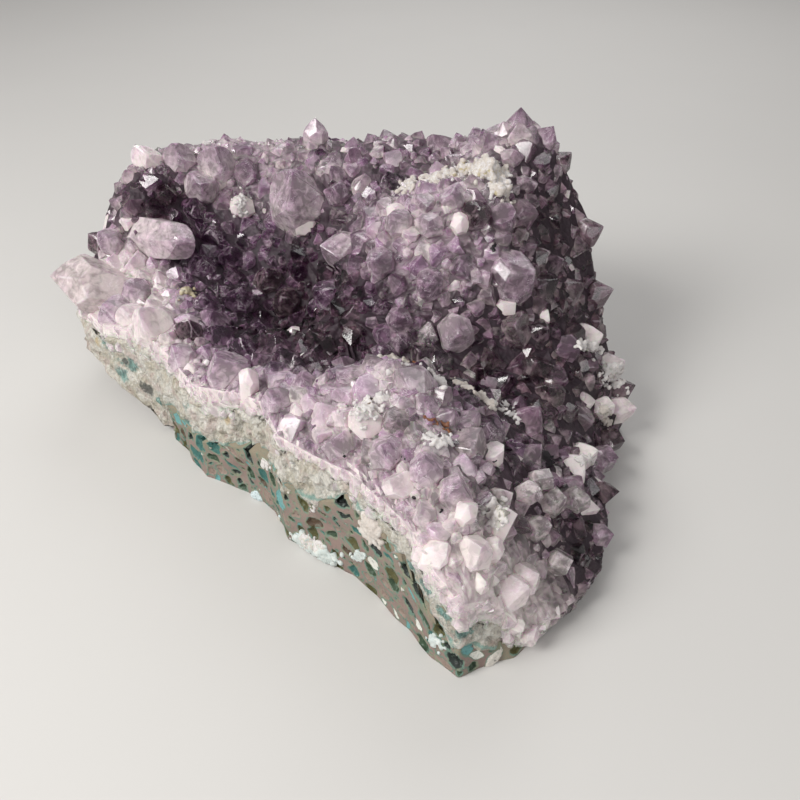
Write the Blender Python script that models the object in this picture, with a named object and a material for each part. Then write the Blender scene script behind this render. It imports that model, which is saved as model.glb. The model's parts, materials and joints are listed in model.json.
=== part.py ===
"""Amethyst cluster: a broken-out piece of geode wall that lies crystals up on a flat base.

Three pieces, each grown on the one below it: the vesicular basalt, a cream rind of chalcedony,
and one crust of amethyst crystals. X runs along the long side, and the near corner points to -Y.
Lengths in the tables are millimetres; everything in the scene is metres.
"""

import math
import random

import bmesh
import bpy
import numpy as np
from mathutils import Matrix, Vector, noise

MM = 0.001
OBJECT_NAME = "amethyst_cluster"

# The middle of the plan, which every reach is measured from
CENTRE = (0.0, 12.0)

# How far the stone reaches: corners of its plan, anticlockwise from the near corner
OUTLINE = [
    (38, -67), (46, -65), (56, -56), (66, -44), (70, -30), (71, -14), (76, 3), (85, 16),
    (80, 30), (77, 42), (70, 53), (60, 62), (50, 70), (34, 81), (12, 87), (-14, 90),
    (-36, 91), (-56, 90), (-68, 84), (-76, 75), (-83, 65), (-88, 56), (-88, 43), (-76, 28),
    (-62, 19), (-50, 7), (-41, -5), (-28, -12), (-20, -19), (-15, -30), (-3, -38), (3, -42),
    (17, -58), (22, -66), (28, -71),
]

# Height of the bed that the crystals stand on, spot by spot: (x, y, z)
RELIEF = {
    "left end": [(-86, 50, 33), (-78, 38, 33), (-62, 25, 35), (-80, 60, 42)],
    "broken rim": [
        (-47, 9, 35), (-36, -3, 34), (-20, -13, 38), (-11, -28, 37), (2, -35, 37),
        (12, -47, 37), (21, -58, 34), (33, -63, 27), (42, -63, 12),
    ],
    "front lobe": [
        (-9, -20, 40), (6, -26, 43), (15, -16, 48), (15, -38, 43), (21, -50, 39),
        (28, -57, 35), (36, -46, 33), (34, -24, 38), (0, -12, 43),
    ],
    "valley": [(18, 1, 37), (40, -2, 31), (-14, -4, 39), (53, 4, 32), (6, 2, 37)],
    "dome": [
        (24, 12, 52), (26, 18, 62), (14, 26, 66), (33, 31, 75), (43, 33, 71),
        (3, 25, 56), (-4, 13, 43), (48, 20, 54), (55, 32, 55), (30, 42, 70),
    ],
    "hollow": [
        (-13, 41, 26), (-29, 14, 34), (-42, 22, 38), (-36, 50, 33), (-12, 50, 42),
        (-55, 58, 45), (-20, 28, 27), (-46, 40, 36),
    ],
    "back ridge": [
        (-72, 62, 57), (-62, 80, 66), (-40, 82, 66), (-33, 66, 48), (-15, 62, 57),
        (-14, 80, 68), (9, 76, 70), (24, 74, 70), (30, 60, 67), (40, 68, 75),
        (48, 59, 81), (57, 57, 79),
    ],
    "back rim": [(-60, 90, 60), (-30, 91, 63), (0, 87, 64), (30, 80, 68), (48, 68, 75)],
    "right flank": [
        (65, 55, 67), (71, 48, 55), (75, 42, 41), (69, 12, 28), (77, 32, 26),
        (57, -7, 28), (50, -27, 27), (61, -12, 20),
    ],
    "right foot": [
        (84, 17, 7), (75, 4, 9), (70, -14, 9), (69, -29, 8), (60, -42, 11),
        (55, -54, 9), (46, -64, 7),
    ],
}

# Thickness of the crystal crust and of the rind under it: (x, y, thickness)
CRUST_THICKNESS = [
    (-85, 50, 5), (-60, 24, 5), (-36, -3, 6), (-11, -28, 4), (12, -46, 5), (30, -64, 6),
    (60, -20, 8), (74, 18, 6), (50, 66, 8), (0, 86, 7), (-60, 88, 6), (0, 30, 7), (-30, 40, 6),
]
RIND_THICKNESS = [
    (-85, 50, 12), (-62, 22, 16), (-44, 2, 14), (-26, -12, 12), (-14, -26, 11), (-3, -36, 7),
    (6, -43, 3), (14, -52, 6), (24, -64, 9), (34, -66, 6), (60, -20, 6), (74, 18, 4),
    (50, 66, 6), (0, 86, 5), (-60, 88, 6), (0, 20, 6),
]

# How far the basalt and the rind stop short of the outline, by bearing in degrees from +X
BASALT_INSET = [
    (-180, 0), (-62, 0), (-52, 8), (-40, 17), (0, 17), (32, 14), (42, 4), (46, 0),
    (128, 0), (138, 12), (148, 26), (162, 30), (170, 20), (177, 4), (180, 0),
]
RIND_INSET = [(-180, 0.8), (-66, 0.8), (-50, 7), (0, 8), (34, 6), (43, 0.8), (180, 0.8)]

# A layer whose inset is at least this ends inside the next one, which wraps down to the ground
WRAPPED_BASALT = 1.0
WRAPPED_RIND = 1.5
WRAP_BLEND = 3.0

# Limits where the tables would make a layer too thin or too low
THINNEST_CRUST = 3.5
THINNEST_RIND = 2.0
THINNEST_SIDE = 1.0
LEAST_BASALT_HEIGHT = 3.0
LEAST_RIND_HEIGHT = 3.0
LEAST_BED_HEIGHT = 5.0

# Unevenness: the bed's lumps, and how rough each layer's side is
BED_LUMPS = 1.3
BED_LUMP_SIZE = 17.0
BED_LUMP_SEED = 3.1
BASALT_ROUGHNESS = 1.6
RIND_ROUGHNESS = 1.3
CRUST_ROUGHNESS = 0.8
BASALT_SEED = 0.0
RIND_SEED = 7.0
CRUST_SEED = 15.0
ROUGH_SIZE = 13.0
FINE_ROUGHNESS = 0.5
FINE_RATIO = 2.3
PUSH_POWER = 4

# The hidden back is a wilder break: how much of that there is, by bearing
BACK = [(-180, 0), (38, 0), (55, 1), (125, 1), (140, 0), (180, 0)]
BACK_SWELL = 3.0
BACK_SWELL_SIZE = 30.0
BACK_TUCK = 7.0
TUCK_HEIGHT = 28.0

# The biggest gas holes in the basalt: (bearing, height, length, width)
GAS_HOLES = [
    (-156, 8, 6, 4), (-146, 9, 5, 3.4), (-137, 6, 5, 3.4), (-112, 15, 6, 4), (-101, 15, 6, 4),
    (-104, 5, 6, 4), (-90, 18, 5, 3.4), (-88, 8, 6, 4), (-82, 17, 7, 5), (-79, 7, 6, 4),
    (-73, 9, 7, 5), (58, 24, 9, 6), (72, 42, 7, 5), (84, 18, 10, 7), (97, 48, 8, 5),
    (108, 27, 9, 6), (120, 40, 7, 5),
]
HOLE_DEPTH = 2.2
BEARING_STEP = 0.05

# How the layers are divided into rings and segments
LONG_EDGE = 20.0
TOP_RINGS = 6
RING_CROWDING = 0.75
UNDER_SHARE = 0.8
SPLINE_SOFTENING = 20.0

# How the layers fit one another: a gap, an overlap that the cutters take off, and a deeper cut
CRUST_INSET = 1.2
GAP = 0.3
OVERLAP = 2.0
THROUGH = 2.0

# The rind and the crust stop just above the ground, and more so under the left end
FOOT_CLEARANCE = 0.8
LIFT_START = -57.0
LIFT_HEIGHT = 13.0
LIFT_LENGTH = 13.0
CRUST_LIFT = 1.5

# The crystals that stand out, by place: (x, y, radius, height over the bed, way it points)
HEROES = {
    "left end": [
        (-78, 44, 8.0, 15, (-0.95, 0.05, 0.15)), (-64, 36, 4.5, 6, (-0.3, -0.3, 0.9)),
        (-72, 31, 4.2, 5, (-0.5, -0.3, 0.8)), (-56, 18, 9.0, 8, (-0.2, -0.4, 0.9)),
        (-75, 54, 4.6, 7, (-0.4, -0.5, 0.75)), (-63, 52, 6.4, 18, (0.93, -0.08, -0.1)),
        (-81, 60, 4.4, 6, (-0.7, -0.1, 0.7)), (-66, 27, 4.0, 5, (-0.3, -0.5, 0.8)),
    ],
    "broken rim": [
        (-32, -6, 8.5, 7, (-0.2, -0.3, 0.9)), (-24, -11, 3.0, 8, (0.1, -0.2, 0.97)),
        (30, -62, 5.5, 6, (0.1, -0.5, 0.85)), (40, -61, 6.0, 6, (0.6, -0.4, 0.7)),
        (-16, -19, 4.4, 5, (-0.3, -0.3, 0.9)), (-46, 7, 4.6, 5, (-0.3, -0.3, 0.9)),
    ],
    "back ridge": [
        (-68, 76, 4.6, 6, (-0.5, -0.2, 0.85)), (-51, 79, 6.0, 7, (0.0, -0.5, 0.85)),
        (-42, 79, 7.0, 8, (0.1, -0.55, 0.8)), (-36, 75, 5.0, 6, (0.2, -0.6, 0.75)),
        (-48, 72, 5.6, 6, (0.1, -0.75, 0.6)), (-16, 67, 11.0, 12, (-0.1, -0.65, 0.75)),
        (-12, 83, 4.2, 8, (0.0, -0.1, 1.0)), (50, 60, 5.0, 8, (0.0, -0.1, 1.0)),
        (58, 57, 4.6, 7, (0.35, -0.1, 0.93)), (63, 56, 4.2, 6, (0.7, 0.0, 0.7)),
    ],
    "hollow": [
        (-37, 15, 5.0, 5, (0.0, -0.3, 0.95)), (-29, 10, 4.4, 5, (0.0, -0.25, 0.96)),
        (-21, 45, 5.0, 7, (-0.1, -0.7, 0.7)), (-45, 16, 4.6, 5, (0.2, -0.3, 0.93)),
        (-35, 69, 4.6, 5, (0.0, -0.75, 0.66)), (-15, 57, 3.8, 5, (-0.4, -0.7, 0.6)),
        (-4, 59, 4.6, 6, (-0.3, -0.6, 0.74)), (-59, 65, 4.2, 5, (0.4, -0.6, 0.7)),
    ],
    "dome": [
        (0, 41, 6.5, 10, (-0.85, -0.35, 0.35)), (46, 18, 8.0, 9, (0.55, -0.65, 0.5)),
        (30, 6, 5.6, 8, (0.1, -0.85, 0.45)), (15, 25, 4.8, 6, (-0.4, -0.5, 0.77)),
        (10, 19, 4.6, 6, (-0.35, -0.7, 0.6)), (23, 13, 4.8, 6, (-0.1, -0.85, 0.5)),
        (35, 24, 4.8, 6, (0.2, -0.7, 0.65)), (15, 9, 4.2, 6, (-0.1, -0.8, 0.57)),
        (42, 26, 4.2, 6, (0.5, -0.6, 0.6)), (23, 22, 4.0, 5, (-0.15, -0.75, 0.65)),
    ],
    "front lobe": [
        (7, -31, 5.0, 6, (-0.3, -0.5, 0.8)), (12, -40, 4.2, 6, (-0.2, -0.5, 0.85)),
        (1, -34, 3.8, 5, (-0.4, -0.35, 0.85)), (21, -46, 4.2, 6, (-0.1, -0.35, 0.93)),
        (27, -51, 3.8, 6, (0.3, -0.4, 0.87)), (15, -48, 3.8, 5, (-0.35, -0.35, 0.87)),
    ],
    "right flank": [
        (37, -53, 2.8, 9, (0.2, -0.1, 0.97)), (44, -41, 3.4, 6, (0.6, -0.3, 0.7)),
        (51, -38, 3.4, 6, (0.7, -0.3, 0.6)), (46, -47, 3.2, 6, (0.6, -0.5, 0.6)),
        (70, 21, 5.0, 5, (0.8, -0.2, 0.55)), (78, 22, 5.5, 6, (0.75, -0.3, 0.55)),
        (73, 7, 3.8, 5, (0.75, -0.4, 0.55)), (64, -15, 4.0, 5, (0.8, -0.2, 0.6)),
        (71, 46, 4.6, 6, (0.75, -0.4, 0.5)), (75, 38, 4.6, 6, (0.75, -0.4, 0.5)),
    ],
}

# The shape of a crystal, in units of its radius: the faces of its tip lean in by RHOMB_PITCH
# degrees from upright, and every other one is smaller
RHOMB_PITCH = 38.2
TIP_SPREAD = 0.22
SMALLER_FACES = 0.5
PRISM_DEPTH = 8.0
SHAPES = 10

# How far a crystal's foot goes into the bed: a share of its radius and a length
ROOT_SHARE = 0.8
ROOT_LENGTH = 2.0

# The crystals between the ones that stand out. Heights are shares of the radius, and near the
# ground LOW_CRYSTAL times the height of the bed is the most that a radius can be
CRYSTAL_SPACING = 14.0
CRYSTAL_RADIUS = (5.5, 8.0)
CRYSTAL_LEAN = 0.35
CRYSTAL_HEIGHT = (0.7, 0.95)
CRYSTAL_MARGIN = 2.0
LOW_CRYSTAL = 0.4
HERO_ROOM = 0.7
CRYSTAL_TRIES = 6000
RANDOM_SEED = 6
SLOPE_STEP = 2.0

# Colour and roughness
FINISHES = {
    "basalt_matrix": ((0.33, 0.27, 0.25), 0.9),
    "quartz_rind": ((0.72, 0.68, 0.60), 0.6),
    "amethyst_crystals": ((0.42, 0.33, 0.50), 0.15),
}


def clear_scene():
    for obj in list(bpy.data.objects):
        bpy.data.objects.remove(obj, do_unlink=True)


def new_collection(name, hidden=False):
    collection = bpy.data.collections.new(name)
    bpy.context.scene.collection.children.link(collection)
    collection.hide_render = hidden
    return collection


def plain_material(name, colour, roughness):
    material = bpy.data.materials.new(name)
    material.use_nodes = True
    shader = material.node_tree.nodes["Principled BSDF"]
    shader.inputs["Base Color"].default_value = (*colour, 1.0)
    shader.inputs["Roughness"].default_value = roughness
    return material


def spline_kernel(squared):
    return squared * np.log(squared + 1e-9)


def smooth_surface(spots, softening=SPLINE_SOFTENING):
    """A thin-plate spline through the spots: a function from x and y to the third value."""
    spots = np.array(spots, float)
    plan = spots[:, :2]
    count = len(spots)
    squared = ((plan[:, None] - plan[None]) ** 2).sum(-1)
    flat = np.hstack([np.ones((count, 1)), plan])
    system = np.zeros((count + 3, count + 3))
    system[:count, :count] = spline_kernel(squared) + softening * np.eye(count)
    system[:count, count:] = flat
    system[count:, :count] = flat.T
    weights = np.linalg.solve(system, np.append(spots[:, 2], np.zeros(3)))

    def value(x, y):
        kernel = spline_kernel((plan[:, 0] - x) ** 2 + (plan[:, 1] - y) ** 2)
        return float(kernel @ weights[:count] + weights[count:] @ (1.0, x, y))

    return value


bed_spline = smooth_surface([spot for group in RELIEF.values() for spot in group])
crust_spline = smooth_surface(CRUST_THICKNESS)
rind_spline = smooth_surface(RIND_THICKNESS)


def bed_height(x, y):
    lumps = noise.noise(Vector((x / BED_LUMP_SIZE, y / BED_LUMP_SIZE, BED_LUMP_SEED)))
    return bed_spline(x, y) + BED_LUMPS * lumps


def rind_top(x, y):
    return bed_height(x, y) - max(THINNEST_CRUST, crust_spline(x, y))


def basalt_top(x, y):
    return rind_top(x, y) - max(THINNEST_RIND, rind_spline(x, y))


def lift(x):
    """How far the underside of the left end stands off the ground."""
    if x > LIFT_START:
        return 0.0
    return LIFT_HEIGHT * (1.0 - math.exp((x - LIFT_START) / LIFT_LENGTH))


def by_bearing(table, bearing):
    """A value from a table of (degrees, value), with straight lines between the rows."""
    angles, values = zip(*table)
    return float(np.interp(math.degrees(bearing), angles, values, period=360))


def bearings():
    """The outline's corners as (bearing, reach) from the centre, with long edges halved."""
    corners = [Vector(corner) - Vector(CENTRE) for corner in OUTLINE]
    points = []
    for start, end in zip(corners, corners[1:] + corners[:1]):
        points.append(start)
        if (end - start).length > LONG_EDGE:
            points.append((start + end) / 2)
    return sorted((math.atan2(point.y, point.x), point.length) for point in points)


RIM = bearings()


def outline_reach(bearing):
    """Distance from the centre to the outline, along a bearing in radians."""
    return float(np.interp(bearing, *zip(*RIM), period=math.tau))


def rough(x, y, z, size, seed):
    """Rock-like unevenness between about -1 and 1, with lumps of the given size."""
    point = Vector((x / size + seed, y / size, z / size))
    return noise.noise(point) + FINE_ROUGHNESS * noise.noise(point * FINE_RATIO)


def side_push(bearing, x, y, z, roughness, seed):
    """How far the side stands out from the outline at a place."""
    back = by_bearing(BACK, bearing)
    swell = BACK_SWELL * rough(x, y, z, BACK_SWELL_SIZE, 0.0)
    tuck = BACK_TUCK * max(0.0, 1.0 - z / TUCK_HEIGHT) ** 2
    return roughness * (1 + back) * rough(x, y, z, ROUGH_SIZE, seed) + back * (swell - tuck)


def layer(name, collection, inset, top, rim_bottom, ground, side_rings, roughness, seed, grown):
    """One layer of the stone, from a sphere whose rings become its top, its side and its underside.

    inset takes a bearing, top and rim_bottom take x, y and a bearing, and ground takes x. The
    underside runs from rim_bottom at its rim down to ground. grown makes the same shape that
    much bigger all over and deeper, which is the cutter for the layer above it.
    """
    side_end = TOP_RINGS + side_rings
    count = side_end + (3 if grown else 2)
    deep = []
    mesh = bmesh.new()
    bmesh.ops.create_uvsphere(mesh, u_segments=len(RIM), v_segments=count, radius=1.0)
    for vert in mesh.verts:
        ring = round(math.acos(max(-1.0, min(1.0, vert.co.z))) / math.pi * count)
        turn = round(math.atan2(vert.co.y, vert.co.x) * len(RIM) / math.tau)
        bearing, reach = RIM[turn % len(RIM)]
        rings_left = count - ring
        under_share = (0.0, UNDER_SHARE, 1.0)[min(rings_left, 2)]
        share = min(ring / TOP_RINGS, 1.0) ** RING_CROWDING * under_share
        reach = share * (reach - inset(bearing))
        x = CENTRE[0] + reach * math.cos(bearing)
        y = CENTRE[1] + reach * math.sin(bearing)
        high = top(x, y, bearing)
        low = min(rim_bottom(x, y, bearing), high - THINNEST_SIDE) if rings_left > 1 else ground(x)
        z = high + (low - high) * min(1.0, max(0.0, (ring - TOP_RINGS) / side_rings))
        if ring > side_end and grown:
            deep.append(vert)
        push = share ** PUSH_POWER * side_push(bearing, x, y, z, roughness, seed)
        vert.co = MM * Vector((x + push * math.cos(bearing), y + push * math.sin(bearing), z))
    # A layer and its cutter must split their bent quads along the same diagonals
    bmesh.ops.triangulate(mesh, faces=mesh.faces, quad_method="FIXED")
    mesh.normal_update()
    outward = [(vert, vert.normal * vert.calc_shell_factor()) for vert in mesh.verts]
    for vert, step in outward:
        vert.co += step * grown * MM
    for vert in deep:
        vert.co.z -= THROUGH * MM
    return finish_mesh(name, mesh, collection)


def finish_mesh(name, mesh, collection):
    data = bpy.data.meshes.new(name)
    mesh.to_mesh(data)
    mesh.free()
    obj = bpy.data.objects.new(name, data)
    collection.objects.link(obj)
    return obj


def wraps(table, bearing, least):
    """0 where a layer ends on the side of the stone, 1 where it reaches down to the ground."""
    return min(1.0, max(0.0, (by_bearing(table, bearing) - least) / WRAP_BLEND))


def basalt_solid(name, collection, grown=0.0):
    return layer(
        name,
        collection,
        inset=lambda bearing: by_bearing(BASALT_INSET, bearing),
        top=lambda x, y, bearing: max(basalt_top(x, y), LEAST_BASALT_HEIGHT),
        rim_bottom=lambda x, y, bearing: 0.0,
        ground=lambda x: 0.0,
        side_rings=3,
        roughness=BASALT_ROUGHNESS,
        seed=BASALT_SEED,
        grown=grown,
    )


def rind_ground(x):
    return FOOT_CLEARANCE + lift(x)


def rind_solid(name, collection, grown=0.0):
    def rim_bottom(x, y, bearing):
        open_side = 1 - wraps(BASALT_INSET, bearing, WRAPPED_BASALT)
        return max(rind_ground(x), open_side * (basalt_top(x, y) - OVERLAP))

    return layer(
        name,
        collection,
        inset=lambda bearing: by_bearing(RIND_INSET, bearing),
        top=lambda x, y, bearing: max(rind_top(x, y), rind_ground(x) + LEAST_RIND_HEIGHT),
        rim_bottom=rim_bottom,
        ground=rind_ground,
        side_rings=2,
        roughness=RIND_ROUGHNESS,
        seed=RIND_SEED,
        grown=grown,
    )


def crust_solid(name, collection):
    def rim_bottom(x, y, bearing):
        open_side = 1 - wraps(RIND_INSET, bearing, WRAPPED_RIND)
        return max(FOOT_CLEARANCE, open_side * (rind_top(x, y) - OVERLAP))

    return layer(
        name,
        collection,
        inset=lambda bearing: CRUST_INSET,
        top=lambda x, y, bearing: max(bed_height(x, y), LEAST_BED_HEIGHT),
        rim_bottom=rim_bottom,
        ground=lambda x: FOOT_CLEARANCE + CRUST_LIFT * lift(x),
        side_rings=1,
        roughness=CRUST_ROUGHNESS,
        seed=CRUST_SEED,
        grown=0.0,
    )


def gas_hole(bearing, height, length, width, collection):
    """A lens-shaped cutter whose long side lies along the side of the basalt."""
    mesh = bmesh.new()
    size = (length / 2, HOLE_DEPTH, width / 2, 1.0)
    bmesh.ops.create_uvsphere(
        mesh, u_segments=6, v_segments=4, radius=1.0, matrix=Matrix.Diagonal(size)
    )
    bearing = math.radians(bearing)
    ahead = bearing + BEARING_STEP
    out = Vector((math.cos(bearing), math.sin(bearing), 0.0))
    here = outline_reach(bearing) * out
    there = outline_reach(ahead) * Vector((math.cos(ahead), math.sin(ahead), 0.0))
    along = math.atan2(there.y - here.y, there.x - here.x)
    x, y = CENTRE[0] + here.x, CENTRE[1] + here.y
    push = side_push(bearing, x, y, height, BASALT_ROUGHNESS, BASALT_SEED)
    place = Vector((x, y, height)) + out * push
    mesh.transform(
        Matrix.Translation(place * MM) @ Matrix.Rotation(along, 4, "Z") @ Matrix.Scale(MM, 4)
    )
    finish_mesh("gas_hole", mesh, collection).display_type = "WIRE"


def crystal_shape(rng, spread):
    """A six-sided prism of radius 1 with a six-faced quartz tip, its point at z = 0.

    spread is how unlike the faces of the tip are: 0 makes them meet in one point.
    """
    mesh = bmesh.new()
    bmesh.ops.create_cone(
        mesh, cap_ends=True, segments=6, radius1=1.0, radius2=1.0, depth=PRISM_DEPTH
    )
    pitch = math.radians(RHOMB_PITCH)
    for face in range(6):
        angle = math.radians(60 * face + 30)
        across = math.cos(pitch)
        normal = Vector((math.cos(angle) * across, math.sin(angle) * across, math.sin(pitch)))
        offset = spread * (SMALLER_FACES * (face % 2) + rng.random())
        kept = bmesh.ops.bisect_plane(
            mesh,
            geom=mesh.verts[:] + mesh.edges[:] + mesh.faces[:],
            plane_co=normal * offset,
            plane_no=normal,
            clear_outer=True,
        )
        rim = [item for item in kept["geom_cut"] if isinstance(item, bmesh.types.BMEdge)]
        if rim:
            bmesh.ops.edgeloop_fill(mesh, edges=rim)
    highest = max(vert.co.z for vert in mesh.verts)
    bmesh.ops.translate(mesh, verts=mesh.verts, vec=(0, 0, -highest))
    bmesh.ops.recalc_face_normals(mesh, faces=mesh.faces)
    data = bpy.data.meshes.new("crystal_shape")
    mesh.to_mesh(data)
    mesh.free()
    return data


def bed_normal(x, y):
    rise_x = bed_height(x + SLOPE_STEP, y) - bed_height(x - SLOPE_STEP, y)
    rise_y = bed_height(x, y + SLOPE_STEP) - bed_height(x, y - SLOPE_STEP)
    return Vector((-rise_x, -rise_y, 2 * SLOPE_STEP)).normalized()


def plant_crystal(shape, place, radius, height, way, turn, collection):
    """One crystal whose foot is sunk in the bed and whose point stands height over it."""
    data = shape.copy()
    root = radius * ROOT_SHARE + ROOT_LENGTH
    middle = -PRISM_DEPTH / 2
    for vert in data.vertices:
        if vert.co.z < middle:
            vert.co.z = -(height + root) / radius
    way = Vector(way).normalized()
    tip = place + way * height
    data.transform(
        Matrix.Translation(tip * MM)
        @ way.to_track_quat("Z", "Y").to_matrix().to_4x4()
        @ Matrix.Rotation(turn, 4, "Z")
        @ Matrix.Scale(radius * MM, 4)
    )
    obj = bpy.data.objects.new("crystal", data)
    obj.display_type = "WIRE"
    collection.objects.link(obj)


def scatter(rng, taken, spacing):
    """Places on the bed no nearer to each other than the spacing, round those already taken."""
    places = []
    for _ in range(CRYSTAL_TRIES):
        bearing = rng.uniform(-math.pi, math.pi)
        reach = (outline_reach(bearing) - CRUST_INSET - CRYSTAL_MARGIN) * math.sqrt(rng.random())
        x = CENTRE[0] + reach * math.cos(bearing)
        y = CENTRE[1] + reach * math.sin(bearing)
        place = Vector((x, y, bed_height(x, y)))
        if all((place - other).length > spacing / 2 + room for other, room in taken):
            taken.append((place, spacing / 2))
            places.append(place)
    return places


def grow_crystals(collection):
    rng = random.Random(RANDOM_SEED)
    shapes = [crystal_shape(rng, TIP_SPREAD) for _ in range(SHAPES)]
    plain_shape = crystal_shape(rng, 0.0)
    taken = []
    for x, y, radius, height, way in (hero for group in HEROES.values() for hero in group):
        place = Vector((x, y, bed_height(x, y)))
        turn = rng.uniform(0, math.tau)
        plant_crystal(rng.choice(shapes), place, radius, height, way, turn, collection)
        taken.append((place + Vector(way).normalized() * height / 2, radius * HERO_ROOM))
    for place in scatter(rng, taken, CRYSTAL_SPACING):
        lean = Vector((rng.gauss(0, 1), rng.gauss(0, 1), rng.gauss(0, 1))) * CRYSTAL_LEAN
        way = bed_normal(place.x, place.y) + lean
        radius = min(rng.uniform(*CRYSTAL_RADIUS), LOW_CRYSTAL * place.z)
        height = radius * rng.uniform(*CRYSTAL_HEIGHT)
        turn = rng.uniform(0, math.tau)
        plant_crystal(plain_shape, place, radius, height, way, turn, collection)


def boolean(obj, operation, other, solver="EXACT"):
    modifier = obj.modifiers.new(operation.lower(), "BOOLEAN")
    modifier.operation = operation
    modifier.solver = solver
    if isinstance(other, bpy.types.Collection):
        modifier.operand_type = "COLLECTION"
        modifier.collection = other
    else:
        modifier.object = other
        other.display_type = "WIRE"


def main():
    clear_scene()
    parts = new_collection(OBJECT_NAME)
    cutters = new_collection("cutters", hidden=True)
    crystals = new_collection("crystals", hidden=True)
    holes = new_collection("gas_holes", hidden=True)
    basalt = basalt_solid("basalt_matrix", parts)
    rind = rind_solid("quartz_rind", parts)
    crust = crust_solid("amethyst_crystals", parts)
    grow_crystals(crystals)
    # The exact solver loses the crust where hundreds of crystals cross one another
    boolean(crust, "UNION", crystals, solver="MANIFOLD")
    for hole in GAS_HOLES:
        gas_hole(*hole, holes)
    boolean(basalt, "DIFFERENCE", holes)
    basalt_cutter = basalt_solid("basalt_cutter", cutters, grown=GAP)
    rind_cutter = rind_solid("rind_cutter", cutters, grown=GAP)
    boolean(rind, "DIFFERENCE", basalt_cutter)
    boolean(crust, "DIFFERENCE", rind_cutter, solver="MANIFOLD")
    boolean(crust, "DIFFERENCE", basalt_cutter, solver="MANIFOLD")
    for piece in (basalt, rind, crust):
        piece.data.materials.append(plain_material(piece.name, *FINISHES[piece.name]))


if __name__ == "__main__":
    main()
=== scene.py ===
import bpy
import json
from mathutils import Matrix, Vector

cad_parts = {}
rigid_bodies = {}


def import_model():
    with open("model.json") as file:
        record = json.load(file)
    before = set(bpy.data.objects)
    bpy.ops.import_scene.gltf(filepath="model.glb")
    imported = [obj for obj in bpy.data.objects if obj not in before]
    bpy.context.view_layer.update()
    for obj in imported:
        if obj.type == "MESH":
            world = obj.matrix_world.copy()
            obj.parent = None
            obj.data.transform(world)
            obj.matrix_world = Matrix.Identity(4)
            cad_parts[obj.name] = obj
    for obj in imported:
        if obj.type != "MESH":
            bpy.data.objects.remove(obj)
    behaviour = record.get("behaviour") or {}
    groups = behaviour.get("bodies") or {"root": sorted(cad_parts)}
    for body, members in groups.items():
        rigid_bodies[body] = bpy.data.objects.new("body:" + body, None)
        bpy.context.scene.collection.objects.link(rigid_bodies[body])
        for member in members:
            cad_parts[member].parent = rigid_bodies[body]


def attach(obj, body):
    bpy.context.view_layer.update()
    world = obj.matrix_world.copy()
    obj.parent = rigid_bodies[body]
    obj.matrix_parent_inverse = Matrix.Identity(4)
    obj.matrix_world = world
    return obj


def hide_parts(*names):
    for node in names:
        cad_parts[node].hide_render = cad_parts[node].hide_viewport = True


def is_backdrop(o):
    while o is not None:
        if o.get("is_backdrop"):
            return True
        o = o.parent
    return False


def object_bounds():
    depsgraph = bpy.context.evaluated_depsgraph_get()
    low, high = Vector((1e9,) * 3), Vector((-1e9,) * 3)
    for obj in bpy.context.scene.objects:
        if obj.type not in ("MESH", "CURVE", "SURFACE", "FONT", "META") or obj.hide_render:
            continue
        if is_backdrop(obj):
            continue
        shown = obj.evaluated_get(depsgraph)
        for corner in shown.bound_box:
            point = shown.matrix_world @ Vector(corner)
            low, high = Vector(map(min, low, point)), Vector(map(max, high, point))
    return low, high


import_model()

"""Looks of the amethyst cluster: a crust of crystals on a cream rind on vesicular basalt.

The layers are grown from the same outline and relief as the solids, with a fine surface of
their own. Lengths in the tables are millimetres; everything in the scene is metres.
"""

import json
import math
import random

import bmesh
import bpy
import numpy as np
from bpy.props import FloatProperty, FloatVectorProperty, IntProperty, PointerProperty
from bpy.types import Operator, Panel, PropertyGroup
from mathutils import Matrix, Vector, noise
from mathutils.bvhtree import BVHTree
from mathutils.kdtree import KDTree

bl_info = {
    "name": "Amethyst cluster",
    "version": (1, 0, 0),
    "blender": (4, 5, 0),
    "location": "3D View > Sidebar > Amethyst",
    "description": "Grows an amethyst cluster: basalt with gas holes, a cream rind and a crystal crust",
    "category": "Object",
}

MM = 0.001
BODY = "root"
CAD_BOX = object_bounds()

# The middle of the plan, which every reach is measured from
CENTRE = (0.0, 12.0)

# How far the stone reaches: corners of its plan, anticlockwise from the near corner
OUTLINE = [
    (38, -67), (46, -65), (56, -56), (66, -44), (70, -30), (71, -14), (76, 3), (85, 16),
    (80, 30), (77, 42), (70, 53), (60, 62), (50, 70), (34, 81), (12, 87), (-14, 90),
    (-36, 91), (-56, 90), (-68, 84), (-76, 75), (-83, 65), (-88, 56), (-88, 43), (-76, 28),
    (-62, 19), (-50, 7), (-41, -5), (-28, -12), (-20, -19), (-15, -30), (-3, -38), (3, -42),
    (17, -58), (22, -66), (28, -71),
]

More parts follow.
